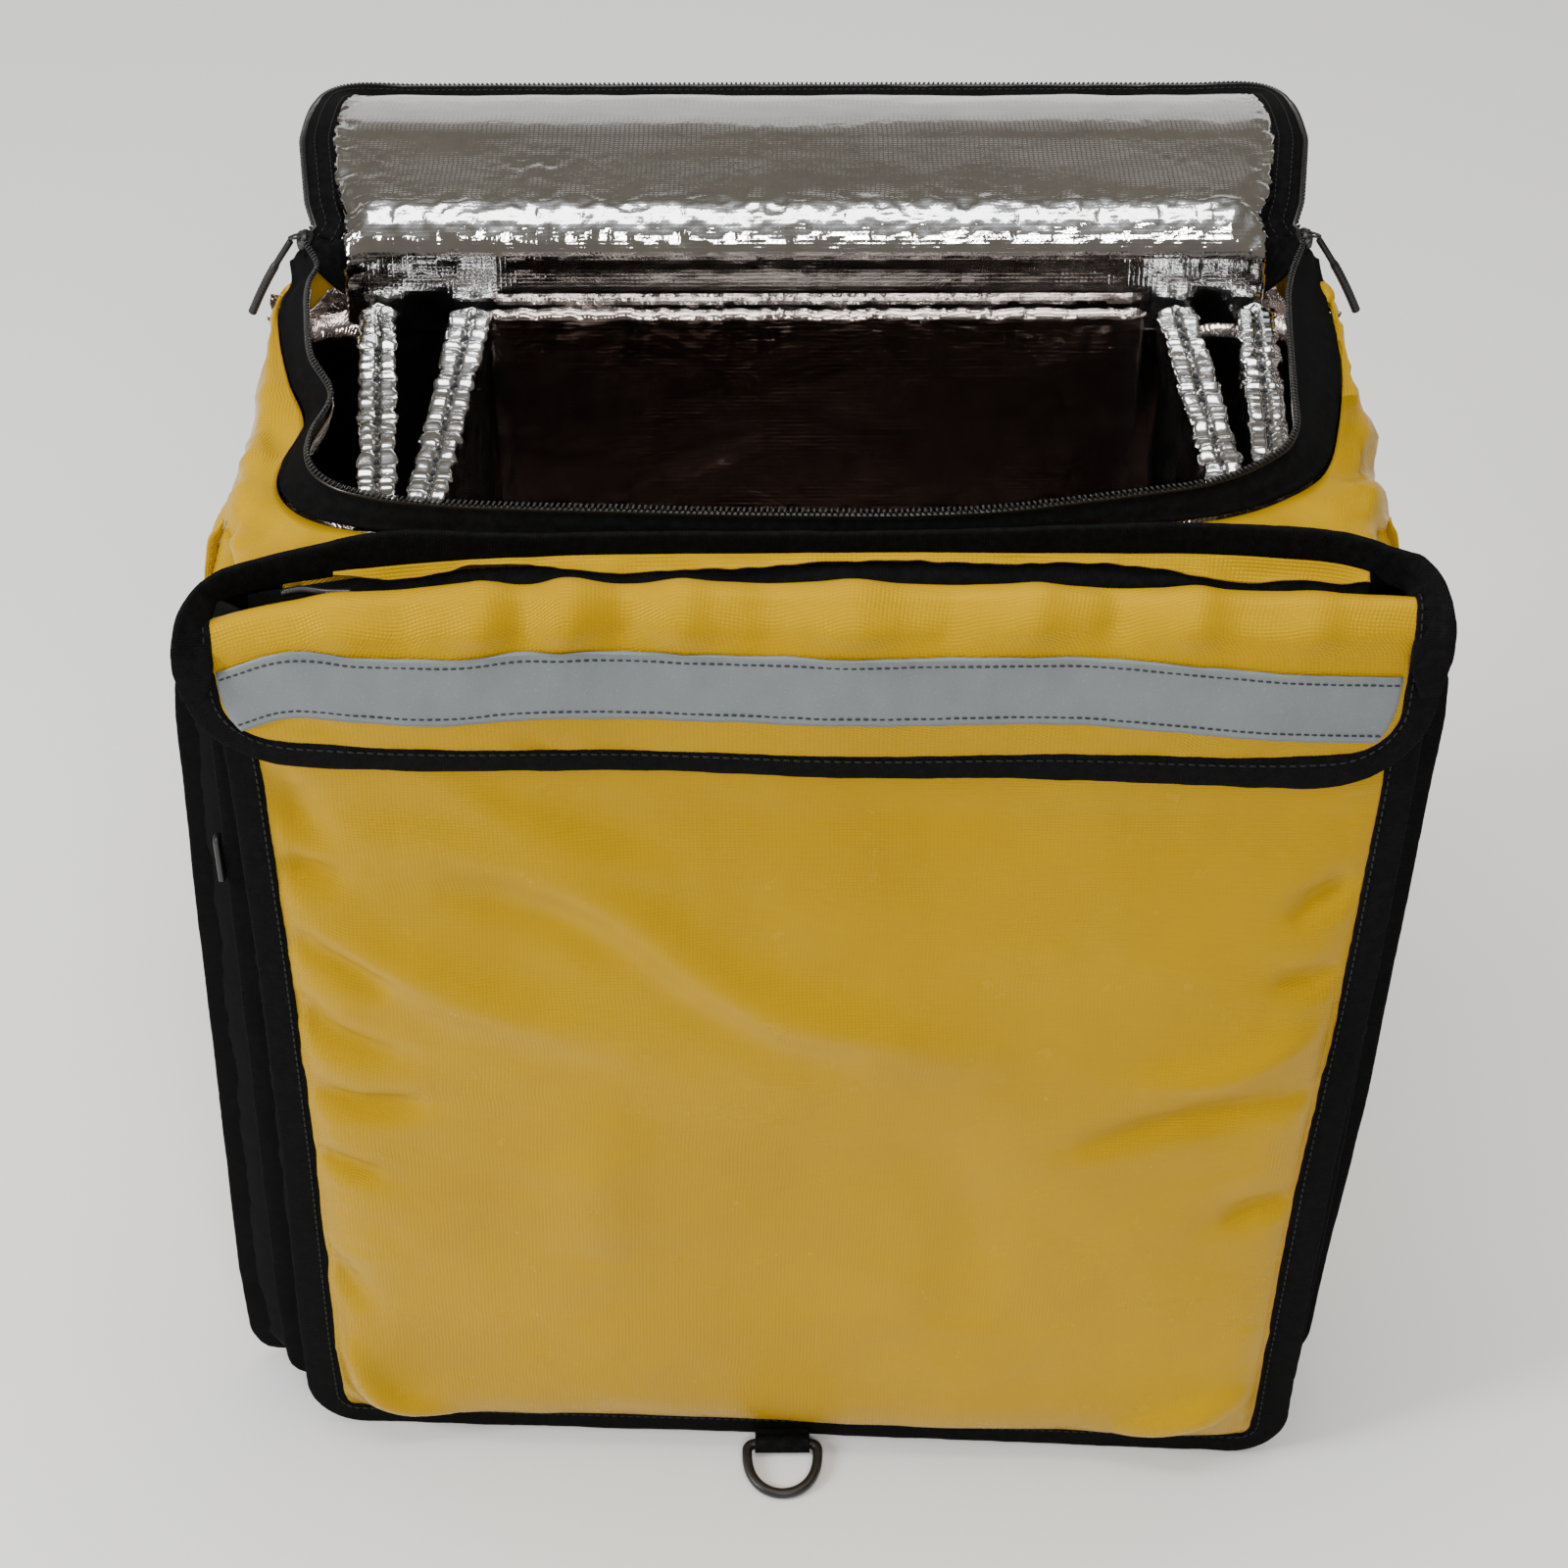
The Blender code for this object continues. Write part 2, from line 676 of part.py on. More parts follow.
def pocket_puff(x, z, left, right, low, high):
    """How far the pocket's front stands out of its own edges."""
    across = (2.0 * x - left - right) / (right - left)
    up = (z - low) / (high - low)
    side = max(0.0, 1.0 - abs(across) ** 5)
    rise = min(1.0, max(up, 0.0) / 0.10) ** 0.6
    fall = 1.0 - 0.78 * min(1.0, max(0.0, (up - 0.55) / 0.27)) ** 1.5
    edge = min(1.0, 12.0 * (1.0 - abs(across))) * min(1.0, up / 0.03)
    folds = fold_height(across, up) * edge * fall
    return POCKET_PUFF * (side * rise * fall + folds)


def u_path(left_of, right_of, top, bottom, radius, inset, side=9, corner=5, base=10):
    """Left side down, round the bottom corners, right side up, as x and z."""
    low = bottom + radius
    heights = np.linspace(top, low, side)
    turn = np.linspace(0.0, math.pi / 2.0, corner + 1)[1:]
    reach = radius - inset
    left_middle = left_of(low) + radius
    right_middle = right_of(low) - radius
    path = [(left_of(z) + inset, z) for z in heights]
    path += [(left_middle - reach * math.cos(a), low - reach * math.sin(a)) for a in turn]
    path += [(x, bottom + inset) for x in np.linspace(left_middle, right_middle, base)[1:-1]]
    path += [(right_middle + reach * math.sin(a), low - reach * math.cos(a))
             for a in np.concatenate([[0.0], turn])]
    path += [(right_of(z) - inset, z) for z in heights[-2::-1]]
    return path


def fill_rows(left_of, right_of, top, bottom, radius, inset, straight, corner, columns):
    """Rows of x and z that fill a U outline from its top to its bottom edge."""
    low = bottom + radius
    reach = radius - inset
    places = [(z, 0.0) for z in np.linspace(top, low, straight)]
    for turn in np.linspace(0.0, math.pi / 2.0, corner + 1)[1:]:
        places.append((low - reach * math.sin(turn), reach * (1.0 - math.cos(turn))))
    rows = []
    for z, cut in places:
        left = left_of(max(z, low)) + inset + cut
        right = right_of(max(z, low)) - inset - cut
        rows.append([(x, z) for x in np.linspace(left, right, columns)])
    return rows


def build_pocket_front():
    inset = BINDING_WIDTH + 2.0 * PIECE_GAP
    flat = fill_rows(pocket_left, pocket_right, POCKET_TOP, POCKET_FLOOR, POCKET_CORNER,
                     inset, 16, 3, 18)
    rows = []
    for line in flat:
        left, right = line[0][0], line[-1][0]
        low = POCKET_FLOOR + inset
        rows.append([(x, pocket_base_y(x, z) - pocket_puff(x, z, left, right, low, POCKET_TOP), z)
                     for x, z in line])
    grid_object("pocket_panel", rows, yellow_cloth("pocket_panel"), PANEL_WALL)
    bands = []
    for share in (0.0, 1.0):
        path = u_path(pocket_left, pocket_right, POCKET_TOP, POCKET_FLOOR, POCKET_CORNER,
                      BINDING_WIDTH * share, side=8, corner=3, base=8)
        bands.append([(x, pocket_base_y(x, z), z) for x, z in path])
    grid_object("pocket_binding", bands, black_tape("pocket_binding"), BINDING_WALL)


def front_y(x, z):
    """The body's front face at a place."""
    wide, front, back, square = body_size(z)
    deep = (front + back) / 2.0
    middle = (back - front) / 2.0
    return middle - deep * (1.0 - abs(x / wide) ** square) ** (1.0 / square)


def gusset_seat(height):
    """How far across the gusset's rear edge is sewn to the body."""
    return body_size(height)[0] * GUSSET_SEAT


def outward_turns(path):
    """Directions square to a U path and away from its inside."""
    place = np.array(path)
    along = np.gradient(place, axis=0)
    length = np.hypot(along[:, 0], along[:, 1])
    return np.stack([along[:, 1] / length, -along[:, 0] / length], axis=1)


def gusset_rows():
    """Rows of points across the gusset, from the front edge to the body, at each station."""
    steps = {"side": 8, "corner": 4, "base": 8}
    front = u_path(pocket_left, pocket_right, POCKET_TOP, POCKET_FLOOR, POCKET_CORNER,
                   GUSSET_INSET, **steps)
    rear = u_path(lambda z: -gusset_seat(z), gusset_seat, POCKET_TOP, POCKET_FLOOR,
                  POCKET_CORNER, GUSSET_INSET, **steps)
    turns = outward_turns(rear)
    behind = BINDING_WALL / 2.0 + 2.0 * PIECE_GAP
    ahead = GUSSET_WALL / 2.0 + 3.0 * PIECE_GAP
    rows = []
    for (front_x, front_z), (rear_x, rear_z), turn in zip(front, rear, turns):
        start = np.array([front_x, pocket_base_y(front_x, front_z) + behind, front_z])
        end = np.array([rear_x, front_y(rear_x, rear_z) - ahead, rear_z])
        outward = np.array([turn[0], 0.0, turn[1]])
        side = "left_ridge" if front_x < 0.0 else "right_ridge"
        crest = pocket_side(side, rear_z) - RIDGE_WIDTH - GUSSET_WALL / 2.0 - PIECE_GAP
        row = []
        for pleat in PLEATS:
            place = start + (end - start) * pleat.across
            room = place[2] - POCKET_FLOOR - GUSSET_INSET
            reach = max(crest - abs(place[0]), 0.0) * turn[0] ** 2
            reach = min(reach, room / max(abs(turn[1]), 0.001))
            row.append(place + outward * reach * pleat.out)
        rows.append((row, outward))
    return rows


def build_gusset(stations):
    rows = [row for row, outward in stations]
    grid_object("pocket_gusset", rows, black_tape("pocket_gusset"), GUSSET_WALL)


def build_ridge(name, stations, index):
    """A binding that stands proud along one pleat of the gusset."""
    gap = GUSSET_WALL / 2.0 + 2.4 * PIECE_GAP
    low = [row[index] + outward * gap for row, outward in stations]
    high = [row[index] + outward * (gap + RIDGE_WIDTH) for row, outward in stations]
    grid_object(name, [low, high], black_tape(name), BINDING_WALL)


def flap_left(height):
    return -FLAP_HALF_WIDTH


def flap_right(height):
    return FLAP_HALF_WIDTH + 0.001


def flap_y(x, z):
    """The flap's front, a little proud of the pocket's edge and puffed in its middle."""
    across = x / FLAP_HALF_WIDTH
    up = (z - FLAP_BOTTOM) / (FLAP_TOP - FLAP_BOTTOM)
    side = max(0.0, 1.0 - abs(across) ** 6)
    puff = FLAP_PUFF * side * (1.0 - 0.6 * abs(2.0 * min(up, 1.0) - 1.0) ** 2)
    wave = 0.0012 * math.sin(across * 9.0 + 1.0) * side
    return pocket_base_y(x, z) - FLAP_STANDOFF - puff - wave


def fold_shape(x):
    """How far the fold's ends lie below its middle, and how far back it reaches there."""
    share = abs(x / FLAP_HALF_WIDTH) ** 6
    return FOLD_DROP * share, FOLD_DEPTH * (1.0 - FOLD_END_SHARE * share)


def fold_point(x, turn):
    """A place on the rounded fold over the top of the pocket."""
    drop, depth = fold_shape(x)
    return (x, pocket_base_y(x, FLAP_TOP) + depth * turn.back, FLAP_TOP + turn.rise - drop)


def hang_point(x, z):
    """A place on the flap's hanging front, lowered towards the fold's ends."""
    low = FLAP_BOTTOM + FLAP_CORNER
    share = max(0.0, (z - low) / (FLAP_FACE_TOP - low))
    return (x, flap_y(x, z), z - fold_shape(x)[0] * share)


def build_flap():
    inset = BINDING_WIDTH + PIECE_GAP
    flat = fill_rows(flap_left, flap_right, FLAP_FACE_TOP, FLAP_BOTTOM, FLAP_CORNER, inset,
                     5, 5, 16)
    rows = [[fold_point(x, turn) for x, z in flat[0]] for turn in FOLD_TURNS]
    rows += [[hang_point(x, z) for x, z in line] for line in flat]
    grid_object("flap", rows, yellow_cloth("flap"), PANEL_WALL)
    bands = []
    for share in (0.0, 1.0):
        path = u_path(flap_left, flap_right, FLAP_FACE_TOP, FLAP_BOTTOM, FLAP_CORNER,
                      BINDING_WIDTH * share, side=5, corner=5, base=12)
        over_left = [fold_point(path[0][0], turn) for turn in FOLD_TURNS]
        over_right = [fold_point(path[-1][0], turn) for turn in reversed(FOLD_TURNS)]
        bands.append(over_left + [hang_point(x, z) for x, z in path] + over_right)
    grid_object("flap_binding", bands, black_tape("flap_binding"), BINDING_WALL)
    build_reflective_band()


def build_reflective_band():
    rows = []
    reach = FLAP_HALF_WIDTH - BINDING_WIDTH - 0.0035
    proud = PANEL_WALL / 2.0 + PIECE_GAP + REFLECTIVE_WALL / 2.0 + 0.0003
    for part in (0.5, 0.0, -0.5):
        row = []
        for x in np.linspace(-reach, reach, 18):
            level = REFLECTIVE_MIDDLE - 0.018 * x + 0.0022 * math.sin(x * 26.0 + 1.3)
            cut = corner_cut(reach - abs(x), 0.012) * (0.5 - part) * 0.5
            z = level + REFLECTIVE_WIDTH * part + cut
            row.append((x, flap_y(x, z) - proud, z))
        rows.append(row)
    grid_object("flap_reflective_band", rows, reflective_tape("flap_reflective_band"),
                REFLECTIVE_WALL)


def root_line(x):
    """How far forward the root binding lies at a place across."""
    share = x / POCKET_HALF_WIDTH
    return -POCKET_FRONT * float(np.interp(share, column(ROOT, "across"), column(ROOT, "forward")))


def root_sag(x):
    """How far the root binding's ends lie below its middle."""
    return ROOT_SAG * abs(x / POCKET_HALF_WIDTH) ** 8


def strip_row(x, points):
    """One station of a strip that hangs between the root binding and the flap."""
    start = root_line(x) - ROOT_FACE_GAP
    foot = ROOT_HEIGHT - root_sag(x) - ROOT_RIDGE
    crumple = math.sin(x * 57.0) + 0.5 * math.sin(x * 131.0 + 1.0)
    span = max(start + POCKET_FRONT - FOLD_DEPTH, FOLD_DEPTH * 0.6)
    return [(x, start - span * point.across,
             foot - ROOT_RIDGE * point.drop + CRUMPLE * crumple * point.crumple)
            for point in points]


def build_root():
    """The ridge, the crumpled strip and the zip's valley between the body and the flap."""
    inner = np.linspace(-STRIP_REACH, STRIP_REACH, 16) * POCKET_HALF_WIDTH
    end = ROOT_REACH * POCKET_HALF_WIDTH
    ridge = []
    for x in np.concatenate([[-end], inner, [end]]):
        top = ROOT_HEIGHT - root_sag(x)
        line = root_line(x)
        ridge.append([(x, line + BINDING_WALL / 3.0, top - ROOT_RIDGE), (x, line, top)])
    grid_object("root_binding", ridge, black_tape("root_binding"), BINDING_WALL)
    strip = [strip_row(x, CRUMPLED_STRIP) for x in inner]
    grid_object("root_strip", strip, yellow_cloth("root_strip"), PANEL_WALL * 0.8)
    valley = [strip_row(x, ZIP_VALLEY) for x in inner]
    grid_object("pocket_zip_strip", valley, black_tape("pocket_zip_strip"), TAPE_WALL)


def d_outline():
    """Centre line of the D: a straight bar and a round end, corners eased."""
    half = (RING_WIDTH - RING_WIRE) / 2.0
    deep = RING_DEPTH - RING_WIRE
    ease = 0.004
    points = [(-half + ease, 0.0), (0.0, 0.0), (half - ease, 0.0)]
    points.append((half - ease * 0.3, -ease * 0.3))
    for turn in np.linspace(0.0, math.pi, 13):
        points.append((half * math.cos(turn), -ease - (deep - ease) * math.sin(turn) ** 0.8))
    points.append((-half + ease * 0.3, -ease * 0.3))
    return [(x, y, 0.0) for x, y in points]


def build_ring():
    bore = RING_WIRE / 2.0 + RING_CLEARANCE
    outer = bore + LOOP_WALL
    bar_y = pocket_base_y(RING_X, 0.0) - BINDING_WALL / 2.0 - outer - 0.004
    bar_z = outer + 0.0006
    ring = tube_object("d_ring", d_outline(), RING_WIRE / 2.0, black_plastic("d_ring"), True)
    ring.location = (RING_X, bar_y, bar_z)
    fall = bar_z - RING_WIRE / 2.0 - 0.0004
    ring.rotation_euler = (math.asin(fall / (RING_DEPTH - RING_WIRE)), 0.0, 0.0)
    tail = pocket_base_y(RING_X, 0.0) - BINDING_WALL / 2.0 - 2.0 * PIECE_GAP
    profile = []
    middle = bore + LOOP_WALL / 2.0
    for turn in np.linspace(math.radians(35), math.radians(325), 13):
        profile.append((bar_y + middle * math.cos(turn), bar_z + middle * math.sin(turn)))
    high, low = profile[0], profile[-1]
    profile.insert(0, (tail, high[1] + 0.0002))
    profile.append((tail, low[1] - 0.0002))
    rows = [[(RING_X + side * LOOP_WIDTH / 2.0, y, z) for y, z in profile] for side in (-1, 1)]
    grid_object("ring_loop", rows, black_tape("ring_loop"), LOOP_WALL)


def build_sliders():
    for name, side in (("left", -1.0), ("right", 1.0)):
        along, up = lid_point(0.048)
        x = side * (LID_HALF_WIDTH * 0.925 + 0.010)
        slider = box_object("zip_slider_" + name, (SLIDER_WIDTH, SLIDER_LENGTH, SLIDER_HEIGHT),
                            black_plastic("zip_slider_" + name), 0.0012)
        slider.location = (x, along, up)
        start = np.array([x + side * (SLIDER_WIDTH / 2.0 + 0.0024), along, up])
        lean = np.array([side * 0.45, 0.0, -0.89])
        places = [start + lean * PULLER_LENGTH * share for share in (0.0, 0.5, 1.0)]
        tube_object("slider_puller_" + name, places, PULLER_RADIUS,
                    black_plastic("slider_puller_" + name))


def build_small_pulls(stations):
    row, outward = stations[2]
    proud = GUSSET_WALL / 2.0 + 3.9 * PIECE_GAP + RIDGE_WIDTH + PULL_WALL / 2.0
    pull = box_object("gusset_zip_pull", (PULL_WALL, PULL_WIDTH, PULL_LENGTH),
                      black_plastic("gusset_zip_pull"), PULL_WALL * 0.3)
    pull.location = tuple(row[2] + outward * proud)
    puller = box_object("pocket_zip_puller", (PULL_LENGTH, PULL_WIDTH * 0.6, PULL_WALL),
                        black_plastic("pocket_zip_puller"), PULL_WALL * 0.3)
    x = -POCKET_HALF_WIDTH * 0.80
    puller.location = (x, root_line(x) - 0.0075, ROOT_HEIGHT - ROOT_RIDGE + 0.0042)


def back_y(x, z):
    """The body's rear face at a place."""
    wide, front, back, square = body_size(z)
    deep = (front + back) / 2.0
    middle = (back - front) / 2.0
    return middle + deep * (1.0 - abs(x / wide) ** square) ** (1.0 / square)


def strap_rows(points, side, width, curve):
    """A strap as rows of points across its width, standing off the back."""
    rows = []
    for point in points:
        z = point.height * BODY_HEIGHT
        centre = side * point.across * BODY_HALF_WIDTH
        row = []
        for part in (-1.0, 0.0, 1.0):
            x = centre + part * width / 2.0
            row.append((x, back_y(centre, z) + point.off - curve * part ** 2, z))
        rows.append(row)
    return rows


def build_straps():
    for name, side in (("left", -1.0), ("right", 1.0)):
        pad = grid_object("shoulder_strap_" + name, strap_rows(STRAP, side, STRAP_WIDTH, 0.002),
                          black_tape("shoulder_strap_" + name), STRAP_WALL)
        soften = pad.modifiers.new("edges", "BEVEL")
        soften.width = STRAP_WALL * 0.3
        soften.segments = 1
        soften.limit_method = "ANGLE"
        grid_object("strap_webbing_" + name, strap_rows(WEBBING, side, WEBBING_WIDTH, 0.0),
                    black_tape("strap_webbing_" + name), WEBBING_WALL)
        high, low = STRAP[-1], WEBBING[0]
        z = (high.height + low.height) / 2.0 * BODY_HEIGHT
        x = side * (high.across + low.across) / 2.0 * BODY_HALF_WIDTH
        length = (high.height - low.height) * BODY_HEIGHT - PIECE_GAP
        buckle = box_object("strap_buckle_" + name, (BUCKLE_WIDTH, BUCKLE_WALL, length),
                            black_plastic("strap_buckle_" + name), 0.0015)
        buckle.location = (x, back_y(x, z) + (high.off + low.off) / 2.0, z)


def build_all():
    build_main_shell()
    build_inner_liner()
    build_rim()
    build_lid()
    build_boards()
    build_pocket_front()
    stations = gusset_rows()
    build_gusset(stations)
    build_ridge("gusset_mid_binding", stations, 2)
    build_ridge("gusset_rear_binding", stations, 4)
    build_flap()
    build_root()
    build_ring()
    build_sliders()
    build_small_pulls(stations)
    build_straps()


PART = clear_scene()
ANGLES = loop_angles()
TEETH, FOOT = rim_rings()
build_all()
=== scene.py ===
"""Looks of the insulated delivery backpack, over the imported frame."""
import math
from collections import namedtuple

import bpy
import numpy as np
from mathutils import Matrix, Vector, noise
from mathutils.kdtree import KDTree


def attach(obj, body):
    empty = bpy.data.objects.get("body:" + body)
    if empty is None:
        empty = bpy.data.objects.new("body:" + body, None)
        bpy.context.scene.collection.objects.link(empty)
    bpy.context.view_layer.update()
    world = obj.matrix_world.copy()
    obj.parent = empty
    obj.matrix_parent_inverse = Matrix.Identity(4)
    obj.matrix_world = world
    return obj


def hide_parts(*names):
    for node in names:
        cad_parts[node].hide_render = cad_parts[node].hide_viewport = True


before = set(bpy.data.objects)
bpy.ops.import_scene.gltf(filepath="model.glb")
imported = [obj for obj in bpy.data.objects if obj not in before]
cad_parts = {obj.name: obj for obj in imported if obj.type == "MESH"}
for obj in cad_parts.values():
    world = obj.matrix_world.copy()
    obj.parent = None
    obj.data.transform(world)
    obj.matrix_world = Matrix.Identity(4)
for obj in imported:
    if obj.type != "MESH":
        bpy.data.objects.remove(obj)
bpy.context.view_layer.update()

X_WAY, Y_WAY, Z_WAY = np.eye(3)

def table(names, *rows):
    """Rows of numbers under named columns."""
    Row = namedtuple("Row", names)
    return tuple(Row(*row) for row in rows)


def xyz(x, y, z):
    """Places or directions from their coordinates, each an array or one number."""
    return np.stack(np.broadcast_arrays(x, y, z), axis=-1).astype(float)


def column(rows, name):
    return np.array([getattr(row, name) for row in rows])


# Main body
BODY_HEIGHT = 0.531
BODY_HALF_WIDTH = 0.256
BODY_FRONT = 0.100
BODY_BACK = 0.104
RIM_HEIGHT = 0.013
LIP_SETBACK = 0.0029
BODY_SECTIONS = table(
    "height width front back square",
    (0.000, 0.955, 0.79, 0.93, 9),
    (0.006, 0.980, 0.83, 0.97, 9),
    (0.020, 0.995, 0.86, 1.00, 9),
    (0.120, 1.010, 0.88, 1.02, 8),
    (0.300, 1.010, 0.92, 1.03, 8),
    (0.680, 0.975, 1.00, 1.03, 8),
    (0.820, 0.955, 1.04, 1.02, 8),
    (0.910, 0.940, 1.07, 1.01, 8),
    (0.955, 0.922, 1.06, 1.00, 8),
)

# Teeth line of the opening, as shares of the body, and the tape's foot in rim heights
RIM = table(
    "across along spread drop",
    (0.000, 0.91, 0.40, 0.30),
    (-0.400, 0.91, 0.40, 0.30),
    (-0.660, 0.92, 0.45, 0.30),
    (-0.780, 0.95, 0.60, 0.40),
    (-0.840, 0.80, 1.10, 0.95),
    (-0.848, 0.50, 1.10, 1.00),
    (-0.824, 0.12, 0.80, 1.00),
    (-0.775, -0.22, 0.95, 1.00),
    (-0.797, -0.52, 1.05, 1.00),
    (-0.762, -0.80, 0.85, 1.00),
    (-0.660, -0.93, 0.60, 1.00),
    (-0.400, -1.00, 0.35, 0.95),
    (-0.040, -1.04, 0.20, 0.90),
    (0.336, -1.00, 0.30, 0.95),
    (0.560, -0.88, 0.60, 1.00),
    (0.705, -0.72, 0.90, 1.00),
    (0.773, -0.53, 1.10, 1.00),
    (0.793, -0.20, 1.50, 1.00),
    (0.809, 0.21, 1.80, 1.00),
    (0.828, 0.62, 1.60, 1.00),
    (0.825, 0.93, 1.00, 0.90),
    (0.780, 1.00, 0.60, 0.40),
    (0.660, 0.93, 0.45, 0.30),
    (0.400, 0.91, 0.40, 0.30),
)

# Front pocket
POCKET_FRONT = 0.150
POCKET_HALF_WIDTH = 0.240
POCKET_TOP = 0.506
POCKET_FLOOR = 0.0016
POCKET_CORNER = 0.022
BINDING_WIDTH = 0.0135
BINDING_WALL = 0.003
GUSSET_INSET = 0.0085
RIDGE_WIDTH = 0.006
POCKET_SIDES = table(
    "height left right left_ridge right_ridge",
    (0.00, 1.015, 0.975, 1.165, 1.060),
    (0.14, 1.012, 0.978, 1.165, 1.068),
    (0.40, 0.992, 0.990, 1.138, 1.090),
    (0.65, 0.980, 1.012, 1.112, 1.092),
    (0.86, 0.976, 1.020, 1.085, 1.092),
    (1.00, 0.985, 1.015, 1.050, 1.070),
)

# Flap over the pocket
FLAP_TOP = 0.531
FLAP_BOTTOM = 0.437
FLAP_FACE_TOP = 0.522
FLAP_HALF_WIDTH = 0.2455
FLAP_CORNER = 0.040
REFLECTIVE_WIDTH = 0.033
REFLECTIVE_MIDDLE = 0.480
ROOT = table(
    "across forward",
    (-0.975, 0.935),
    (-0.920, 0.893),
    (-0.800, 0.845),
    (-0.630, 0.800),
    (-0.400, 0.772),
    (0.000, 0.762),
    (0.440, 0.765),
    (0.760, 0.782),
    (0.890, 0.815),
    (0.975, 0.890),
)

# How high the reflective tape runs, how wide the crumpled strip is, and the ridge's two ends
BAND_LEVEL = table(
    "across rise",
    (-0.2320, -0.0016),
    (-0.2048, 0.0097),
    (-0.1748, 0.0095),
    (-0.1387, 0.0086),
    (-0.1166, 0.0110),
    (-0.0600, 0.0103),
    (-0.0018, 0.0092),
    (0.1237, 0.0064),
    (0.1974, -0.0008),
    (0.2324, -0.0042),
)
STRIP_EDGE = table(
    "across length",
    (-0.1860, 0.03),
    (-0.1740, 0.30),
    (-0.1560, 0.46),
    (-0.1310, 0.14),
    (-0.1065, 0.26),
    (-0.0830, 0.65),
    (-0.0510, 0.52),
    (0.0080, 0.24),
    (0.0750, 0.30),
    (0.1300, 0.38),
    (0.1460, 0.65),
    (0.1570, 0.80),
    (0.1970, 0.65),
    (0.2100, 0.60),
    (0.2190, 0.30),
)
LEFT_END = table(
    "high_x high_y high_z low_x low_y low_z",
    (0.2365, -0.1440, 0.5262, 0.2320, -0.1430, 0.5130),
    (0.2425, -0.1505, 0.5215, 0.2335, -0.1500, 0.5070),
    (0.2455, -0.1570, 0.5120, 0.2330, -0.1575, 0.5000),
    (0.2460, -0.1590, 0.5010, 0.2328, -0.1605, 0.4920),
    (0.2440, -0.1600, 0.4860, 0.2390, -0.1605, 0.4800),
)
RIGHT_END = table(
    "high_x high_y high_z low_x low_y low_z",
    (0.2365, -0.1360, 0.5325, 0.2320, -0.1365, 0.5180),
    (0.2440, -0.1460, 0.5290, 0.2345, -0.1475, 0.5150),
    (0.2470, -0.1550, 0.5210, 0.2345, -0.1560, 0.5080),
    (0.2472, -0.1590, 0.5070, 0.2335, -0.1605, 0.4980),
    (0.2445, -0.1600, 0.4880, 0.2395, -0.1605, 0.4820),
)

# Lid
LID_DEPTH = 0.174
LID_FALL = 0.017
LID_ARCH = 0.027
LID_SEAT = 0.0038
LID_HALF_WIDTH = 0.231
LID_BAND = 0.014
LID_CORNER = 0.042
LID_START = 0.085
FOLD_BASE = 0.5263
FOLD_RISE = 0.0225

# Walls, and stitches as pitch, length and thickness
SHELL_WALL = 0.002
CLOTH_WALL = 0.0018
FOIL_WALL = 0.0012
TAPE_WALL = 0.0014
LINER_PADDING = 0.005
FACE_START = 0.004
BINDING_STITCH = (0.0040, 0.0028)
FINE_STITCH = (0.0034, 0.0024, 0.0005)
TOOTH_PITCH = 0.0023


def hermite(knots, values, at):
    """A smooth curve through values at their knots; each value may be a whole row of points."""
    values = np.asarray(values, float)
    slopes = np.gradient(values, knots, axis=0)
    low = np.clip(np.searchsorted(knots, at, side="right") - 1, 0, len(knots) - 2)
    shape = (-1,) + (1,) * (values.ndim - 1)
    span = (knots[low + 1] - knots[low]).reshape(shape)
    share = (at - knots[low]).reshape(shape) / span
    square, cube = share ** 2, share ** 3
    return (values[low] * (2 * cube - 3 * square + 1) + values[low + 1] * (3 * square - 2 * cube)
            + slopes[low] * span * (cube - 2 * square + share)
            + slopes[low + 1] * span * (cube - square))


def resample(points, count):
    """Evenly spaced places on a smooth curve through points, or rings on a loft through rings."""
    points = np.asarray(points, float)
    step = np.linalg.norm(np.diff(points, axis=0), axis=-1)
    if step.ndim > 1:
        step = step.mean(axis=1)
    knots = np.concatenate([[0.0], np.cumsum(step)])
    return hermite(knots, points, np.linspace(0.0, knots[-1], count))


def even(points, count, closed=False):
    """The same line with its points spread evenly."""
    points = np.asarray(points, float)
    if closed:
        points = np.vstack([points, points[:1]])
    step = np.linalg.norm(np.diff(points, axis=0), axis=1)
    travel = np.concatenate([[0.0], np.cumsum(step)])
    wanted = np.linspace(0.0, travel[-1], count, endpoint=not closed)
    return np.stack([np.interp(wanted, travel, points[:, axis]) for axis in range(3)], axis=1)


def length_of(points):
    return float(np.linalg.norm(np.diff(points, axis=0), axis=1).sum())


def unit(vectors):
    return vectors / np.maximum(np.linalg.norm(vectors, axis=-1, keepdims=True), 1e-9)


def rough(points, size, octaves, seed, ridged=False):
    """Soft noise at each point, with features about as large as size, from -1 to 1."""
    flat = np.asarray(points, float).reshape(-1, 3)
    total = np.zeros(len(flat))
    gain, weight = 1.0, 0.0
    for octave in range(octaves):
        places = flat / size * (2.0 ** octave) + (seed + 17.3 * octave)
        values = np.array([noise.noise(place) for place in places.tolist()])
        if ridged:
            values = 1.0 - 2.0 * np.minimum(np.abs(values) * 2.2, 1.0)
        total += gain * values
        weight += gain
        gain *= 0.5
    return (total / weight).reshape(np.asarray(points).shape[:-1])


def smooth_step(low, high, value):
    share = np.clip((value - low) / (high - low), 0.0, 1.0)
    return share * share * (3.0 - 2.0 * share)


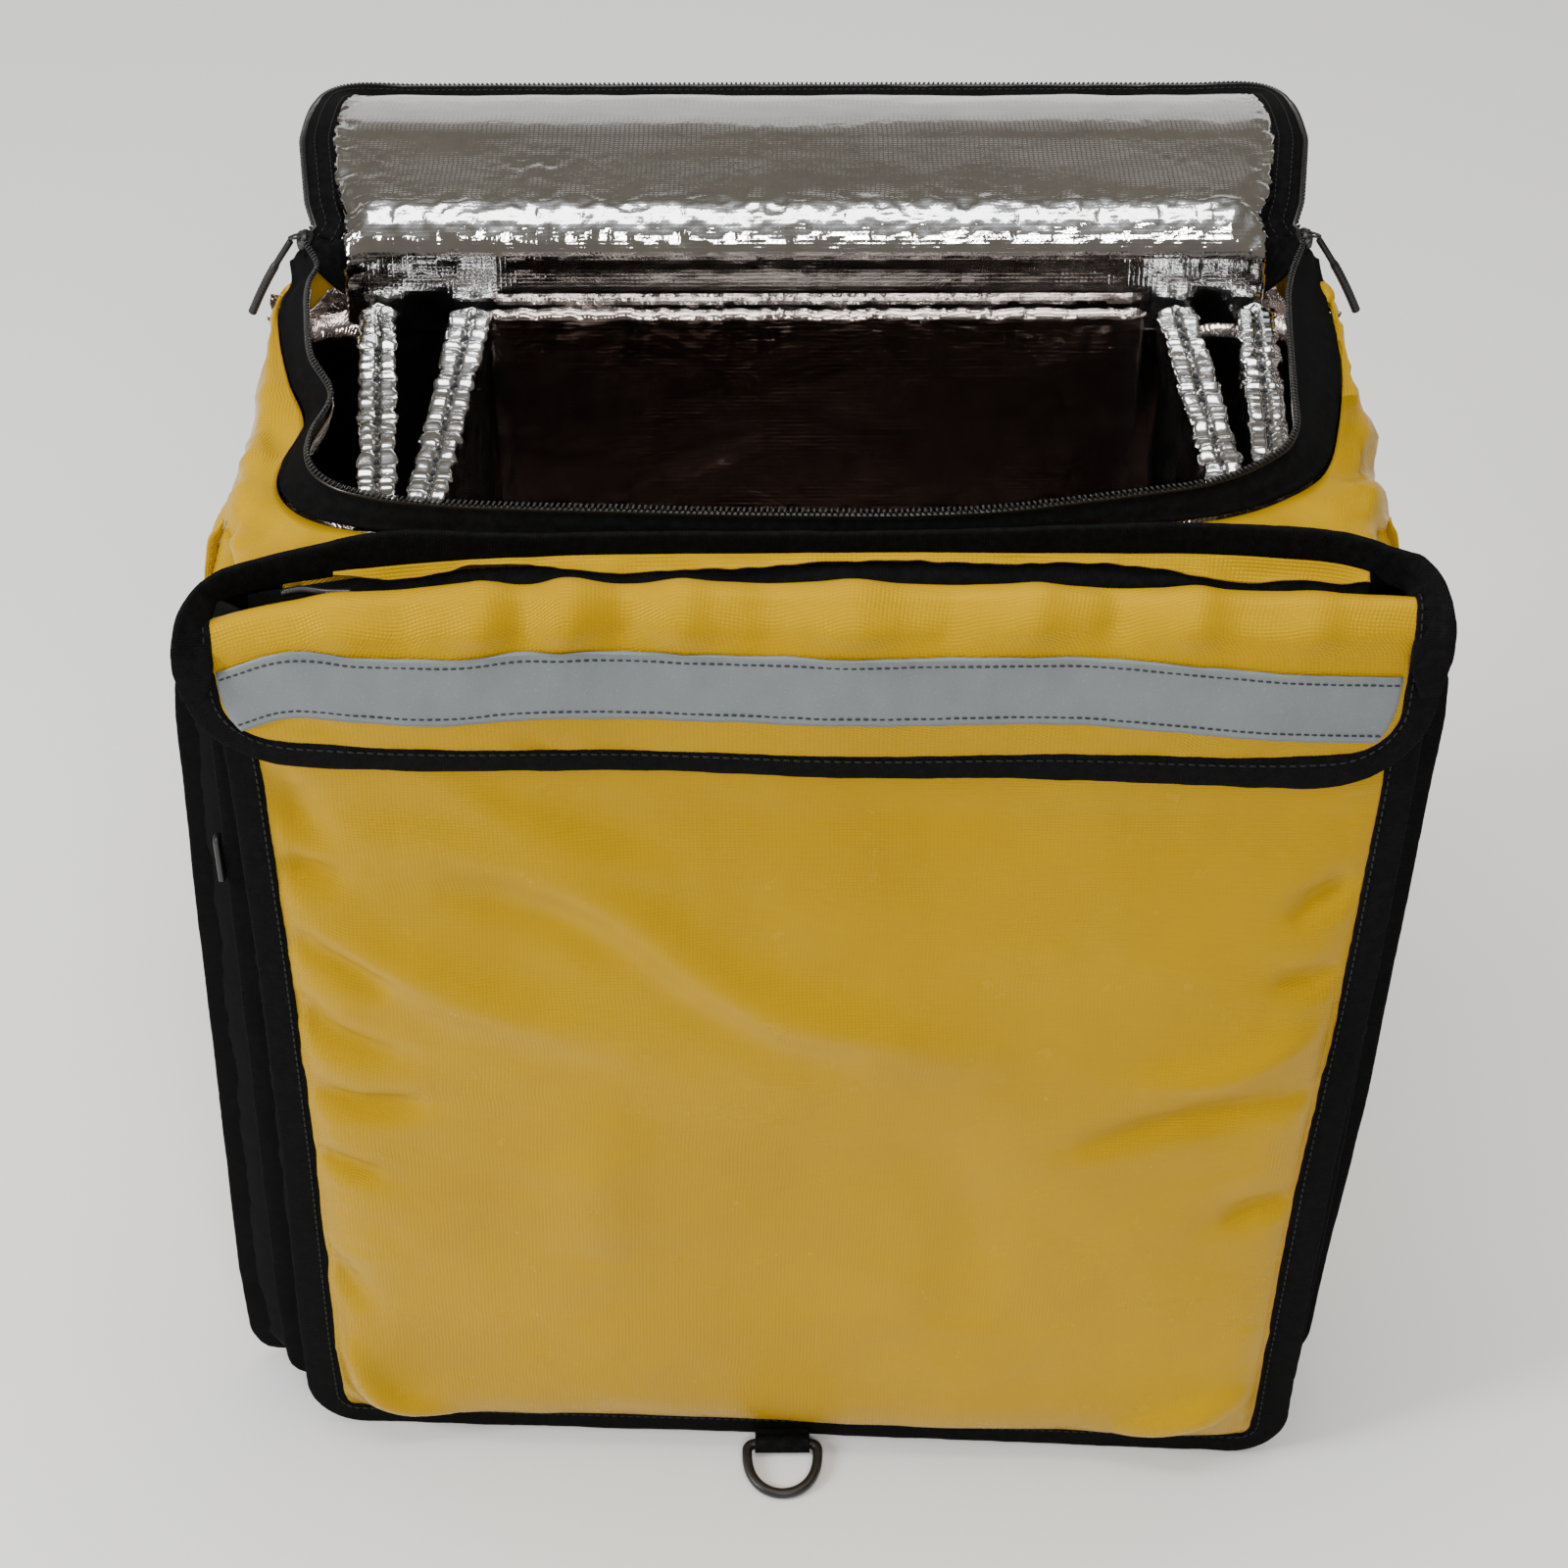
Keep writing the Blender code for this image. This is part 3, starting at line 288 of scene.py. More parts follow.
def crease_field(points, creases):
    """Soft folds: each line of points raises the surface by a height over a width, and fades out."""
    flat = np.asarray(points, float).reshape(-1, 3)
    total = np.zeros(len(flat))
    samples = 60
    for crease in creases:
        path = resample(crease.line, samples)
        distance = np.full(len(flat), 1e9)
        place = np.zeros(len(flat))
        for index, spot in enumerate(path):
            away = ((flat - spot) ** 2).sum(axis=1)
            closer = away < distance
            distance[closer] = away[closer]
            place[closer] = index / (samples - 1.0)
        fade = np.sin(np.pi * np.clip(place, 0.02, 0.98)) ** 0.6
        total += crease.height * fade * np.exp(-distance / crease.width ** 2)
    return total.reshape(np.asarray(points).shape[:-1])


Crease = namedtuple("Crease", "height width line")


class Finish:
    """A procedural material, built node by node."""

    def __init__(self, name, **sockets):
        self.material = bpy.data.materials.new(name)
        self.material.use_nodes = True
        self.tree = self.material.node_tree
        self.shader = self.tree.nodes["Principled BSDF"]
        for key, value in sockets.items():
            self.set(key.replace("_", " "), value)
        place = self.node("ShaderNodeTexCoord")
        self.object = place.outputs["Object"]
        split = self.node("ShaderNodeSeparateXYZ", Vector=place.outputs["UV"])
        self.u, self.v = split.outputs[0], split.outputs[1]

    def set(self, name, value):
        socket = self.shader.inputs[name]
        if isinstance(value, bpy.types.NodeSocket):
            self.tree.links.new(value, socket)
        elif isinstance(value, tuple) and len(value) == 3 and len(socket.default_value) == 4:
            socket.default_value = (*value, 1.0)
        else:
            socket.default_value = value

    def node(self, kind, settings=None, **inputs):
        item = self.tree.nodes.new(kind)
        for key, value in (settings or {}).items():
            setattr(item, key, value)
        for key, value in inputs.items():
            socket = item.inputs[int(key[1:])] if key[0] == "_" else item.inputs[key.replace("_", " ")]
            if isinstance(value, bpy.types.NodeSocket):
                self.tree.links.new(value, socket)
            else:
                socket.default_value = value
        return item

    def math(self, kind, first, second=0.0, third=0.0):
        return self.node("ShaderNodeMath", {"operation": kind}, _0=first, _1=second, _2=third).outputs[0]

    def noise(self, size, detail=3.0, roughness=0.5):
        item = self.node("ShaderNodeTexNoise", Vector=self.object, Scale=1.0 / size, Detail=detail,
                         Roughness=roughness)
        return item.outputs[0]

    def cells(self, size, vector):
        return self.node("ShaderNodeTexVoronoi", Vector=vector, Scale=1.0 / size).outputs["Distance"]

    def band(self, value, low, high, start=0.0, end=1.0):
        item = self.node("ShaderNodeMapRange", Value=value)
        for name, number in zip(("From Min", "From Max", "To Min", "To Max"), (low, high, start, end)):
            item.inputs[name].default_value = number
        return item.outputs[0]

    def mix(self, share, first, second):
        item = self.node("ShaderNodeMix", {"data_type": "RGBA"})
        for socket, value in ((item.inputs[0], share), (item.inputs[6], first), (item.inputs[7], second)):
            if isinstance(value, bpy.types.NodeSocket):
                self.tree.links.new(value, socket)
            else:
                socket.default_value = (*value, 1.0) if isinstance(value, tuple) else value
        return item.outputs[2]

    def wave(self, value, pitch):
        """A sine along a length, from -1 to 1, one wave each pitch."""
        return self.math("SINE", self.math("MULTIPLY_ADD", value, 2.0 * math.pi / pitch, 0.0))

    def total(self, *terms):
        """Sum of height times amount, in metres."""
        result = None
        for height, amount in terms:
            part = self.math("MULTIPLY", height, amount)
            result = part if result is None else self.math("ADD", result, part)
        return result

    def bump(self, height):
        item = self.node("ShaderNodeBump", Height=height, Strength=1.0, Distance=1.0)
        self.set("Normal", item.outputs[0])
        return self.material


def coated_cloth():
    """Glossy yellow coated cloth over a square scrim."""
    f = Finish("shell_cloth_look", Specular_IOR_Level=0.32)
    f.set("Specular Tint", (1.0, 0.66, 0.02, 1.0))
    tone = f.noise(0.16, 3.0, 0.55)
    grime = f.noise(0.03, 5.0, 0.65)
    base = f.mix(f.band(tone, 0.35, 0.7), YELLOW_DEEP, YELLOW_LIGHT)
    f.set("Base Color", f.mix(f.band(grime, 0.62, 0.8, 0.0, 0.25), base, YELLOW_WORN))
    across = f.math("POWER", f.math("ABSOLUTE", f.wave(f.u, 0.0034)), 0.7)
    down = f.math("POWER", f.math("ABSOLUTE", f.wave(f.v, 0.0030)), 0.7)
    patch = f.band(f.noise(0.055, 2.0, 0.5), 0.30, 0.65, 0.45, 1.0)
    weave = f.math("MULTIPLY", f.total((across, 0.00013), (down, 0.00017)), patch)
    soft = f.total((f.noise(0.012, 2.0, 0.5), 0.00035), (f.noise(0.0012, 2.0, 0.6), 0.00002))
    f.set("Roughness", f.band(f.noise(0.02, 4.0, 0.6), 0.3, 0.75, 0.17, 0.30))
    return f.bump(f.math("ADD", weave, soft))


def woven_tape(name, colour, light, rib=0.0011, width=0.0135):
    """Ribbed woven tape, a little lighter where it is rubbed."""
    f = Finish(name, Specular_IOR_Level=0.06)
    fuzz = f.noise(0.004, 4.0, 0.7)
    f.set("Base Color", f.mix(f.band(fuzz, 0.4, 0.75), colour, light))
    ribs = f.math("ABSOLUTE", f.wave(f.u, rib * 2.0))
    turn = f.math("PINGPONG", f.v, width * 0.25)
    twill = f.wave(f.math("ADD", f.u, turn), rib * 1.3)
    f.set("Roughness", f.band(fuzz, 0.3, 0.7, 0.80, 0.98))
    return f.bump(f.total((ribs, 0.00014), (twill, 0.00007), (f.noise(0.0009, 2.0, 0.6), 0.00006)))


def soft_nylon(name, colour, light):
    """Matt woven nylon with faint creases."""
    f = Finish(name, Specular_IOR_Level=0.06)
    wear = f.noise(0.02, 4.0, 0.6)
    f.set("Base Color", f.mix(f.band(wear, 0.4, 0.75), colour, light))
    weave = f.math("MULTIPLY", f.wave(f.u, 0.0012), f.wave(f.v, 0.0012))
    creases = f.noise(0.010, 4.0, 0.6)
    f.set("Roughness", f.band(wear, 0.3, 0.7, 0.65, 0.85))
    return f.bump(f.total((weave, 0.00003), (creases, 0.0006)))


def silver_foil(name, colour=(0.80, 0.81, 0.82), crinkle=1.0, smooth=0.06, spread=0.10, grid_depth=0.000016):
    """Aluminised film over a scrim: a fine grid, flat facets and sharp creases."""
    f = Finish(name, Metallic=1.0)
    bend = f.node("ShaderNodeVectorMath", {"operation": "ADD"}, _0=f.object)
    warp = f.node("ShaderNodeTexNoise", Vector=f.object, Scale=60.0, Detail=2.0)
    shift = f.node("ShaderNodeVectorMath", {"operation": "SCALE"}, _0=warp.outputs["Color"], Scale=0.012)
    f.tree.links.new(shift.outputs[0], bend.inputs[1])
    wide = f.cells(0.014, bend.outputs[0])
    fine = f.cells(0.0050, bend.outputs[0])
    where = f.band(f.noise(0.05, 3.0, 0.6), 0.42, 0.62, 0.0, 1.0)
    creased = f.math("MULTIPLY", f.total((wide, 0.0012 * crinkle), (fine, 0.0006 * crinkle)), where)
    grid = f.math("MAXIMUM", f.math("ABSOLUTE", f.wave(f.u, 0.0044)), f.math("ABSOLUTE", f.wave(f.v, 0.0036)))
    scrim = f.math("MULTIPLY", f.math("POWER", grid, 6.0), grid_depth)
    dull = f.mix(f.band(f.noise(0.02, 4.0, 0.6), 0.35, 0.7), tuple(c * 0.86 for c in colour), colour)
    f.set("Base Color", dull)
    f.set("Roughness", f.band(f.noise(0.01, 4.0, 0.7), 0.3, 0.7, smooth, smooth + spread))
    grain = f.math("MULTIPLY", f.noise(0.0016, 2.0, 0.6), 0.00002)
    return f.bump(f.math("ADD", f.math("ADD", creased, scrim), grain))


def bead_tape():
    """Grey reflective tape with a fine beaded surface."""
    f = Finish("reflective_look", Specular_IOR_Level=0.5)
    fleck = f.noise(0.0008, 2.0, 0.7)
    cloud = f.noise(0.03, 4.0, 0.6)
    base = f.mix(f.band(cloud, 0.3, 0.75), (0.128, 0.149, 0.158), (0.165, 0.187, 0.197))
    f.set("Base Color", f.mix(f.band(fleck, 0.58, 0.72, 0.0, 0.35), base, (0.30, 0.33, 0.35)))
    f.set("Roughness", f.band(cloud, 0.3, 0.7, 0.38, 0.50))
    return f.bump(f.total((fleck, 0.00002), (f.noise(0.015, 3.0, 0.5), 0.0002)))


def moulded(name, colour, low=0.32, high=0.48):
    """Satin moulded plastic with a fine grain."""
    f = Finish(name)
    grain = f.noise(0.0009, 3.0, 0.6)
    wear = f.noise(0.006, 3.0, 0.6)
    f.set("Base Color", f.mix(f.band(wear, 0.45, 0.75), colour, tuple(c * 2.2 for c in colour)))
    f.set("Roughness", f.band(wear, 0.3, 0.7, low, high))
    return f.bump(f.total((grain, 0.00003)))


def sewing_thread(name, colour, light):
    f = Finish(name, Specular_IOR_Level=0.3)
    twist = f.noise(0.0006, 2.0, 0.6)
    f.set("Base Color", f.mix(twist, colour, light))
    f.set("Roughness", f.band(twist, 0.3, 0.7, 0.6, 0.8))
    return f.bump(f.total((twist, 0.00008)))


def pale_floor():
    f = Finish("floor_look", Specular_IOR_Level=0.2)
    speck = f.noise(0.4, 3.0, 0.5)
    f.set("Base Color", f.mix(speck, (0.90, 0.90, 0.90), (0.93, 0.93, 0.93)))
    f.set("Roughness", f.band(speck, 0.3, 0.7, 0.75, 0.9))
    return f.material


YELLOW_DEEP = (0.412, 0.234, 0.0)
YELLOW_LIGHT = (0.460, 0.266, 0.0)
YELLOW_WORN = (0.355, 0.200, 0.0)
BLACK = (0.0030, 0.0030, 0.0032)
BLACK_WORN = (0.0075, 0.0075, 0.0080)


def finish_table():
    return {
        "shell_cloth": coated_cloth(),
        "black_tape": woven_tape("black_tape_look", BLACK, BLACK_WORN),
        "zip_tape": woven_tape("zip_tape_look", BLACK, BLACK_WORN, rib=0.0007),
        "webbing": woven_tape("webbing_look", BLACK, (0.010, 0.010, 0.0105), rib=0.0014, width=0.025),
        "black_cloth": soft_nylon("black_cloth_look", (0.0028, 0.0028, 0.0030), (0.0065, 0.0065, 0.0070)),
        "strap_cloth": soft_nylon("strap_cloth_look", (0.006, 0.006, 0.0065), (0.012, 0.012, 0.013)),
        "foil": silver_foil("foil_look"),
        "smooth_foil": silver_foil("smooth_foil_look", crinkle=0.10, smooth=0.05, spread=0.05,
                                   grid_depth=0.000028),
        # The darker, brownish foil colour is painted shade and painted reflection of warm surroundings for
        # the bag's dim inside, not the film's own colour.
        "shaded_foil": silver_foil("shaded_foil_look", (0.54, 0.47, 0.44), 0.30, 0.05, 0.06, 0.00007),
        "reflective_tape": bead_tape(),
        "black_plastic": moulded("black_plastic_look", (0.006, 0.006, 0.0065)),
        "zip_teeth": moulded("zip_teeth_look", (0.004, 0.004, 0.0043), 0.45, 0.22),
        "dark_thread": sewing_thread("dark_thread_look", (0.010, 0.011, 0.014), (0.04, 0.045, 0.05)),
        "black_thread": sewing_thread("black_thread_look", (0.006, 0.006, 0.0065), (0.011, 0.011, 0.012)),
        "yellow_thread": sewing_thread("yellow_thread_look", (0.30, 0.17, 0.004), (0.45, 0.28, 0.01)),
    }


LOOK = finish_table()


def place(name, mesh, look, body="bag", node=None):
    """A finished piece that rides on its body, and stands for a node if one is given."""
    item = bpy.data.objects.new(name, mesh)
    bpy.context.scene.collection.objects.link(item)
    mesh.materials.append(LOOK[look])
    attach(item, body)
    if node:
        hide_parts(node)
    return item


def make_mesh(name, points, faces, uvs=None):
    mesh = bpy.data.meshes.new(name)
    mesh.from_pydata(points.reshape(-1, 3).tolist(), [], faces)
    if uvs is not None:
        layer = mesh.uv_layers.new(name="UVMap")
        layer.data.foreach_set("uv", np.asarray(uvs, float).reshape(-1))
    mesh.shade_smooth()
    return mesh


def quads(index, uv, flip=False):
    """Faces over a grid of point numbers, with the UV of each face's corners."""
    low, high = slice(None, -1), slice(1, None)
    corners = [(low, low), (low, high), (high, high), (high, low)]
    if flip:
        corners.reverse()
    faces = np.stack([index[corner] for corner in corners], axis=-1).reshape(-1, 4)
    return faces.tolist(), np.stack([uv[corner] for corner in corners], axis=2).reshape(-1, 2)


def grid_piece(name, points, look, wall=0.0, offset=0.0, loop=False, flip=False, node=None):
    """A sheet through a grid of points, with its weave laid out in metres."""
    points = np.asarray(points, float)
    rows, cols = points.shape[:2]
    index = np.arange(rows * cols).reshape(rows, cols)
    wide = points
    if loop:
        index = np.hstack([index, index[:, :1]])
        wide = np.concatenate([points, points[:, :1]], axis=1)
    across = np.linalg.norm(np.diff(wide, axis=1), axis=2)
    along = np.linalg.norm(np.diff(wide, axis=0), axis=2)
    u = np.concatenate([np.zeros((rows, 1)), np.cumsum(across, axis=1)], axis=1)
    if not loop:
        u = u - u[:, -1:] / 2.0
    v = np.concatenate([np.zeros((1, wide.shape[1])), np.cumsum(along, axis=0)], axis=0)
    mesh = make_mesh(name, points, *quads(index, np.stack([u, v], axis=-1), flip))
    item = place(name, mesh, look, node=node)
    if wall:
        thicken = item.modifiers.new("wall", "SOLIDIFY")
        thicken.thickness = wall
        thicken.offset = offset
    return item


def path_frame(centre, across):
    """Directions along, across and out of a ribbon that follows a line."""
    along = unit(np.gradient(centre, axis=0))
    across = np.broadcast_to(np.asarray(across, float), centre.shape)
    across = unit(across - along * (across * along).sum(axis=1, keepdims=True))
    return along, across, np.cross(along, across)


def tape_piece(name, centre, across, width, thick, look, square, sections, ripple=0.0,
               ripple_size=0.02, seed=0.0, body="bag", closed=False, node=None):
    """Webbing with rounded edges along a line: across says which way its width lies."""
    centre = np.asarray(centre, float)
    _, across, out = path_frame(centre, across)
    if ripple:
        wave = rough(centre, ripple_size, 2, seed)
        centre = centre + out * (ripple * wave)[:, None]
        across = unit(across + out * (rough(centre, ripple_size, 1, seed + 5.0) * ripple * 60.0)[:, None])
    width = np.broadcast_to(np.asarray(width, float), (len(centre),))
    thick = np.broadcast_to(np.asarray(thick, float), (len(centre),))
    turn = np.linspace(0.0, 2.0 * math.pi, sections, endpoint=False) + math.pi / sections
    side = np.sign(np.cos(turn)) * np.abs(np.cos(turn)) ** (2.0 / square)
    rise = np.sign(np.sin(turn)) * np.abs(np.sin(turn)) ** (2.0 / square)
    ring = (centre[:, None, :] + across[:, None, :] * (side[None, :] * width[:, None] / 2.0)[:, :, None]
            + out[:, None, :] * (rise[None, :] * thick[:, None] / 2.0)[:, :, None])
    count = len(centre)
    travel = np.concatenate([[0.0], np.cumsum(np.linalg.norm(np.diff(centre, axis=0), axis=1))])
    index = np.arange(count * sections).reshape(count, sections)
    if closed:
        index = np.vstack([index, index[:1]])
        travel = np.append(travel, travel[-1] + np.linalg.norm(centre[0] - centre[-1]))
    spread = np.append(side, side[0]) * 0.5 * float(width.mean())
    uv = np.stack(np.meshgrid(travel, spread, indexing="ij"), axis=-1)
    faces, uvs = quads(np.hstack([index, index[:, :1]]), uv)
    if not closed:
        faces += [index[0, ::-1].tolist(), index[-1].tolist()]
        uvs = np.vstack([uvs, np.zeros((2 * sections, 2))])
    place(name, make_mesh(name, ring, faces, uvs), look, body, node)


def beads(name, centres, along, across, size, look, pinch):
    """Many small rounded blocks in one mesh, such as stitches or zip teeth."""
    out = np.cross(along, across)
    axes = np.stack([unit(along), unit(across), unit(out)], axis=1)
    points, faces = [], []
    for step, scale in ((-0.5, pinch), (-0.22, 1.0), (0.22, 1.0), (0.5, pinch)):
        for x, y in ((-0.5, -0.5), (0.5, -0.5), (0.5, 0.5), (-0.5, 0.5)):
            points.append((step * size[0], x * size[1] * scale, y * size[2] * scale))
    shape = [(0, 3, 2, 1), (12, 13, 14, 15)]
    for layer in range(3):
        for side in range(4):
            a, b = layer * 4 + side, layer * 4 + (side + 1) % 4
            shape.append((a, b, b + 4, a + 4))
    points = np.array(points)
    shape = np.array(shape)
    every = centres[:, None, :] + np.einsum("pk,nkd->npd", points, axes)
    faces = shape[None] + (np.arange(len(centres)) * len(points))[:, None, None]
    return place(name, make_mesh(name, every, faces.reshape(-1, 4).tolist()), look)


def ways(way, count):
    """Directions at evenly spaced places, from one direction or from a line of them."""
    way = np.asarray(way, float)
    return np.broadcast_to(way, (count, 3)) if way.ndim == 1 else unit(even(way, count))


def stitch_line(name, line, out, look, pitch, length, size=0.0007):
    """A row of stitches lying on a surface; out is the surface's direction along the line."""
    sink = 0.0001
    line = np.asarray(line, float)
    count = max(int(length_of(line) / pitch), 2)
    centre = even(line, count)
    out = ways(out, count)
    along = unit(np.gradient(centre, axis=0))
    across = np.cross(out, along)
    beads(name, centre + out * (size * 0.35 - sink), along, across, (length, size, size), look, 0.6)


def body_size(height):
    """Half width, front, back and squareness of the body at a height."""
    share = height / BODY_HEIGHT
    heights = column(BODY_SECTIONS, "height")
    wide = BODY_HALF_WIDTH * np.interp(share, heights, column(BODY_SECTIONS, "width"))
    front = BODY_FRONT * np.interp(share, heights, column(BODY_SECTIONS, "front"))
    back = BODY_BACK * np.interp(share, heights, column(BODY_SECTIONS, "back"))
    return wide, front, back, np.interp(share, heights, column(BODY_SECTIONS, "square"))


def body_wall(x, z, facing):
    """Where the body's back wall lies in Y, facing 1, or its front wall, facing -1."""
    wide, front, back, square = body_size(z)
    deep, middle = (front + back) / 2.0, (back - front) / 2.0
    return middle + facing * deep * (1.0 - np.abs(x / wide) ** square) ** (1.0 / square)


def squared_loop(wide, deep, square, angles):
    across = np.abs(np.cos(angles) / wide) ** square
    along = np.abs(np.sin(angles) / deep) ** square
    return (across + along) ** (-1.0 / square)


def loop_angles(count):
    """Angles that share out the body's outline evenly, closer together in the corners."""
    fine = np.linspace(0.0, 2.0 * math.pi, 4001)
    reach = squared_loop(BODY_HALF_WIDTH, (BODY_FRONT + BODY_BACK) / 2.0, 8, fine)
    spot = np.stack([reach * np.cos(fine), reach * np.sin(fine)], axis=1)
    step = np.diff(spot, axis=0)
    length = np.hypot(step[:, 0], step[:, 1])
    heading = np.unwrap(np.arctan2(step[:, 1], step[:, 0]))
    turning = np.append(np.abs(np.diff(heading)), 0.0)
    travel = np.concatenate([[0.0], np.cumsum(length / length.sum() + 0.35 * turning / turning.sum())])
    return np.interp(np.linspace(0.0, travel[-1], count, endpoint=False), travel, fine)


ANGLES = loop_angles(280)


def body_ring(height, inset=0.0):
    wide, front, back, square = body_size(height)
    reach = squared_loop(wide - inset, (front + back) / 2.0 - inset, square, ANGLES)
    return xyz(reach * np.cos(ANGLES), (back - front) / 2.0 + reach * np.sin(ANGLES), height)


def smooth_loop(at, knots, values):
    """A closed smooth curve through a few knots, in angle."""
    turn = 2.0 * math.pi
    places = np.concatenate([knots[-2:] - turn, knots, knots[:3] + turn])
    heights = np.concatenate([values[-2:], values, values[:3]])
    return hermite(places, heights, (at - knots[0]) % turn + knots[0])


def rim_rings():
    """Teeth line and tape foot of the opening at the loop's angles."""
    across = BODY_HALF_WIDTH * column(RIM, "across")
    share = column(RIM, "along")
    along = np.where(share > 0.0, BODY_BACK, BODY_FRONT) * share
    knots = np.unwrap(np.arctan2(along, across))
    size = (BODY_HALF_WIDTH * 0.84, (BODY_FRONT + BODY_BACK) / 2.0, 6)
    stretch = np.hypot(across, along) / squared_loop(*size, knots)
    reach = squared_loop(*size, ANGLES) * smooth_loop(ANGLES, knots, stretch)
    spread = RIM_HEIGHT * smooth_loop(ANGLES, knots, column(RIM, "spread"))
    drop = RIM_HEIGHT * smooth_loop(ANGLES, knots, column(RIM, "drop"))
    ahead = np.stack([np.cos(ANGLES), np.sin(ANGLES)], axis=1)
    top = np.full(len(ANGLES), BODY_HEIGHT)
    teeth = np.hstack([ahead * reach[:, None], top[:, None]])
    foot = np.hstack([ahead * (reach + spread)[:, None], (top - drop)[:, None]])
    return teeth, foot


TEETH, FOOT = rim_rings()


def root_line(x):
    share = x / POCKET_HALF_WIDTH
    return -POCKET_FRONT * hermite(column(ROOT, "across"), column(ROOT, "forward"),
                                   np.clip(np.atleast_1d(share), -0.975, 0.975))


def moved(ring, inward, down):
    """A ring drawn in square to its own outline, and lowered."""
    along = np.roll(ring, -1, axis=0) - np.roll(ring, 1, axis=0)
    length = np.hypot(along[:, 0], along[:, 1])
    result = ring.copy()
    result[:, 0] -= inward * along[:, 1] / length
    result[:, 1] += inward * along[:, 0] / length
    result[:, 2] -= down
    return result


def shoulder(top_ring, foot, share, rise):
    ring = top_ring + (foot - top_ring) * share
    ring[:, 2] += rise
    return ring


def with_lip(ring):
    """A ring whose front edge comes forward to the root of the pocket's flap."""
    result = ring.copy()
    push = np.clip((-ring[:, 1] / BODY_FRONT - 0.60) / 0.35, 0.0, 1.0)
    result[:, 1] += (root_line(ring[:, 0]) + LIP_SETBACK - ring[:, 1]) * push
    return result


def loft(rings, coarse, fine, split):
    """Rings through all the given ones: coarse up to the one numbered split, then fine."""
    rings = np.array(rings)
    step = np.linalg.norm(np.diff(rings, axis=0), axis=-1).mean(axis=1)
    knots = np.concatenate([[0.0], np.cumsum(step)])
    at = np.concatenate([np.linspace(0.0, knots[split], coarse),
                         np.linspace(knots[split], knots[-1], fine)[1:]])
    return hermite(knots, rings, at)


def grid_normals(points, loop=False):
    """Directions square to a grid of points."""
    if loop:
        wide = np.concatenate([points[:, -1:], points, points[:, :1]], axis=1)
        across = np.gradient(wide, axis=1)[:, 1:-1]
    else:
        across = np.gradient(points, axis=1)
    return unit(np.cross(across, np.gradient(points, axis=0)))


SHOULDER_FOLDS = (
    Crease(-0.0030, 0.009, ((-0.236, -0.085, 0.515), (-0.200, -0.100, 0.517), (-0.160, -0.106, 0.519))),
    Crease(0.0024, 0.008, ((-0.232, -0.070, 0.515), (-0.205, -0.085, 0.518), (-0.180, -0.100, 0.519))),
    Crease(-0.0040, 0.007, ((-0.226, -0.012, 0.512), (-0.219, -0.030, 0.517), (-0.213, -0.048, 0.518))),
    Crease(-0.0025, 0.010, ((0.240, -0.080, 0.512), (0.205, -0.094, 0.517), (0.170, -0.102, 0.519))),
    Crease(0.0026, 0.008, ((0.240, -0.055, 0.510), (0.215, -0.075, 0.517), (0.190, -0.092, 0.519))),
    Crease(-0.0035, 0.008, ((0.244, -0.030, 0.505), (0.232, -0.045, 0.515), (0.212, -0.062, 0.518))),
    Crease(0.0022, 0.010, ((0.246, 0.000, 0.500), (0.238, -0.020, 0.512), (0.226, -0.030, 0.516))),
    Crease(-0.0030, 0.012, ((0.250, 0.050, 0.480), (0.244, 0.030, 0.505), (0.236, 0.020, 0.514))),
)
SIDE_FOLDS = (
    Crease(-0.0040, 0.016, ((-0.255, -0.080, 0.430), (-0.252, -0.020, 0.400), (-0.254, 0.050, 0.405))),
    Crease(0.0035, 0.018, ((-0.257, -0.070, 0.300), (-0.257, 0.010, 0.270), (-0.257, 0.080, 0.285))),
    Crease(-0.0040, 0.020, ((0.252, -0.080, 0.400), (0.252, 0.000, 0.370), (0.253, 0.070, 0.380))),
    Crease(0.0030, 0.018, ((0.258, -0.060, 0.230), (0.258, 0.020, 0.205), (0.258, 0.080, 0.215))),
    Crease(-0.0030, 0.030, ((-0.180, 0.106, 0.440), (0.000, 0.106, 0.415), (0.180, 0.106, 0.450))),
    Crease(-0.0030, 0.030, ((-0.200, 0.106, 0.140), (0.000, 0.106, 0.165), (0.190, 0.106, 0.130))),
)


def corner_bulge(x, y, z):
    """The sides' soft swelling beside the pocket, fuller on the left."""
    most = np.where(x < 0.0, 0.0070, 0.0025)
    swell = np.exp(-((y + 0.084) / 0.030) ** 2) * smooth_step(0.430, 0.490, z)
    return most * (swell * (1.0 - smooth_step(0.500, 0.520, z))) * smooth_step(0.18, 0.23, np.abs(x))


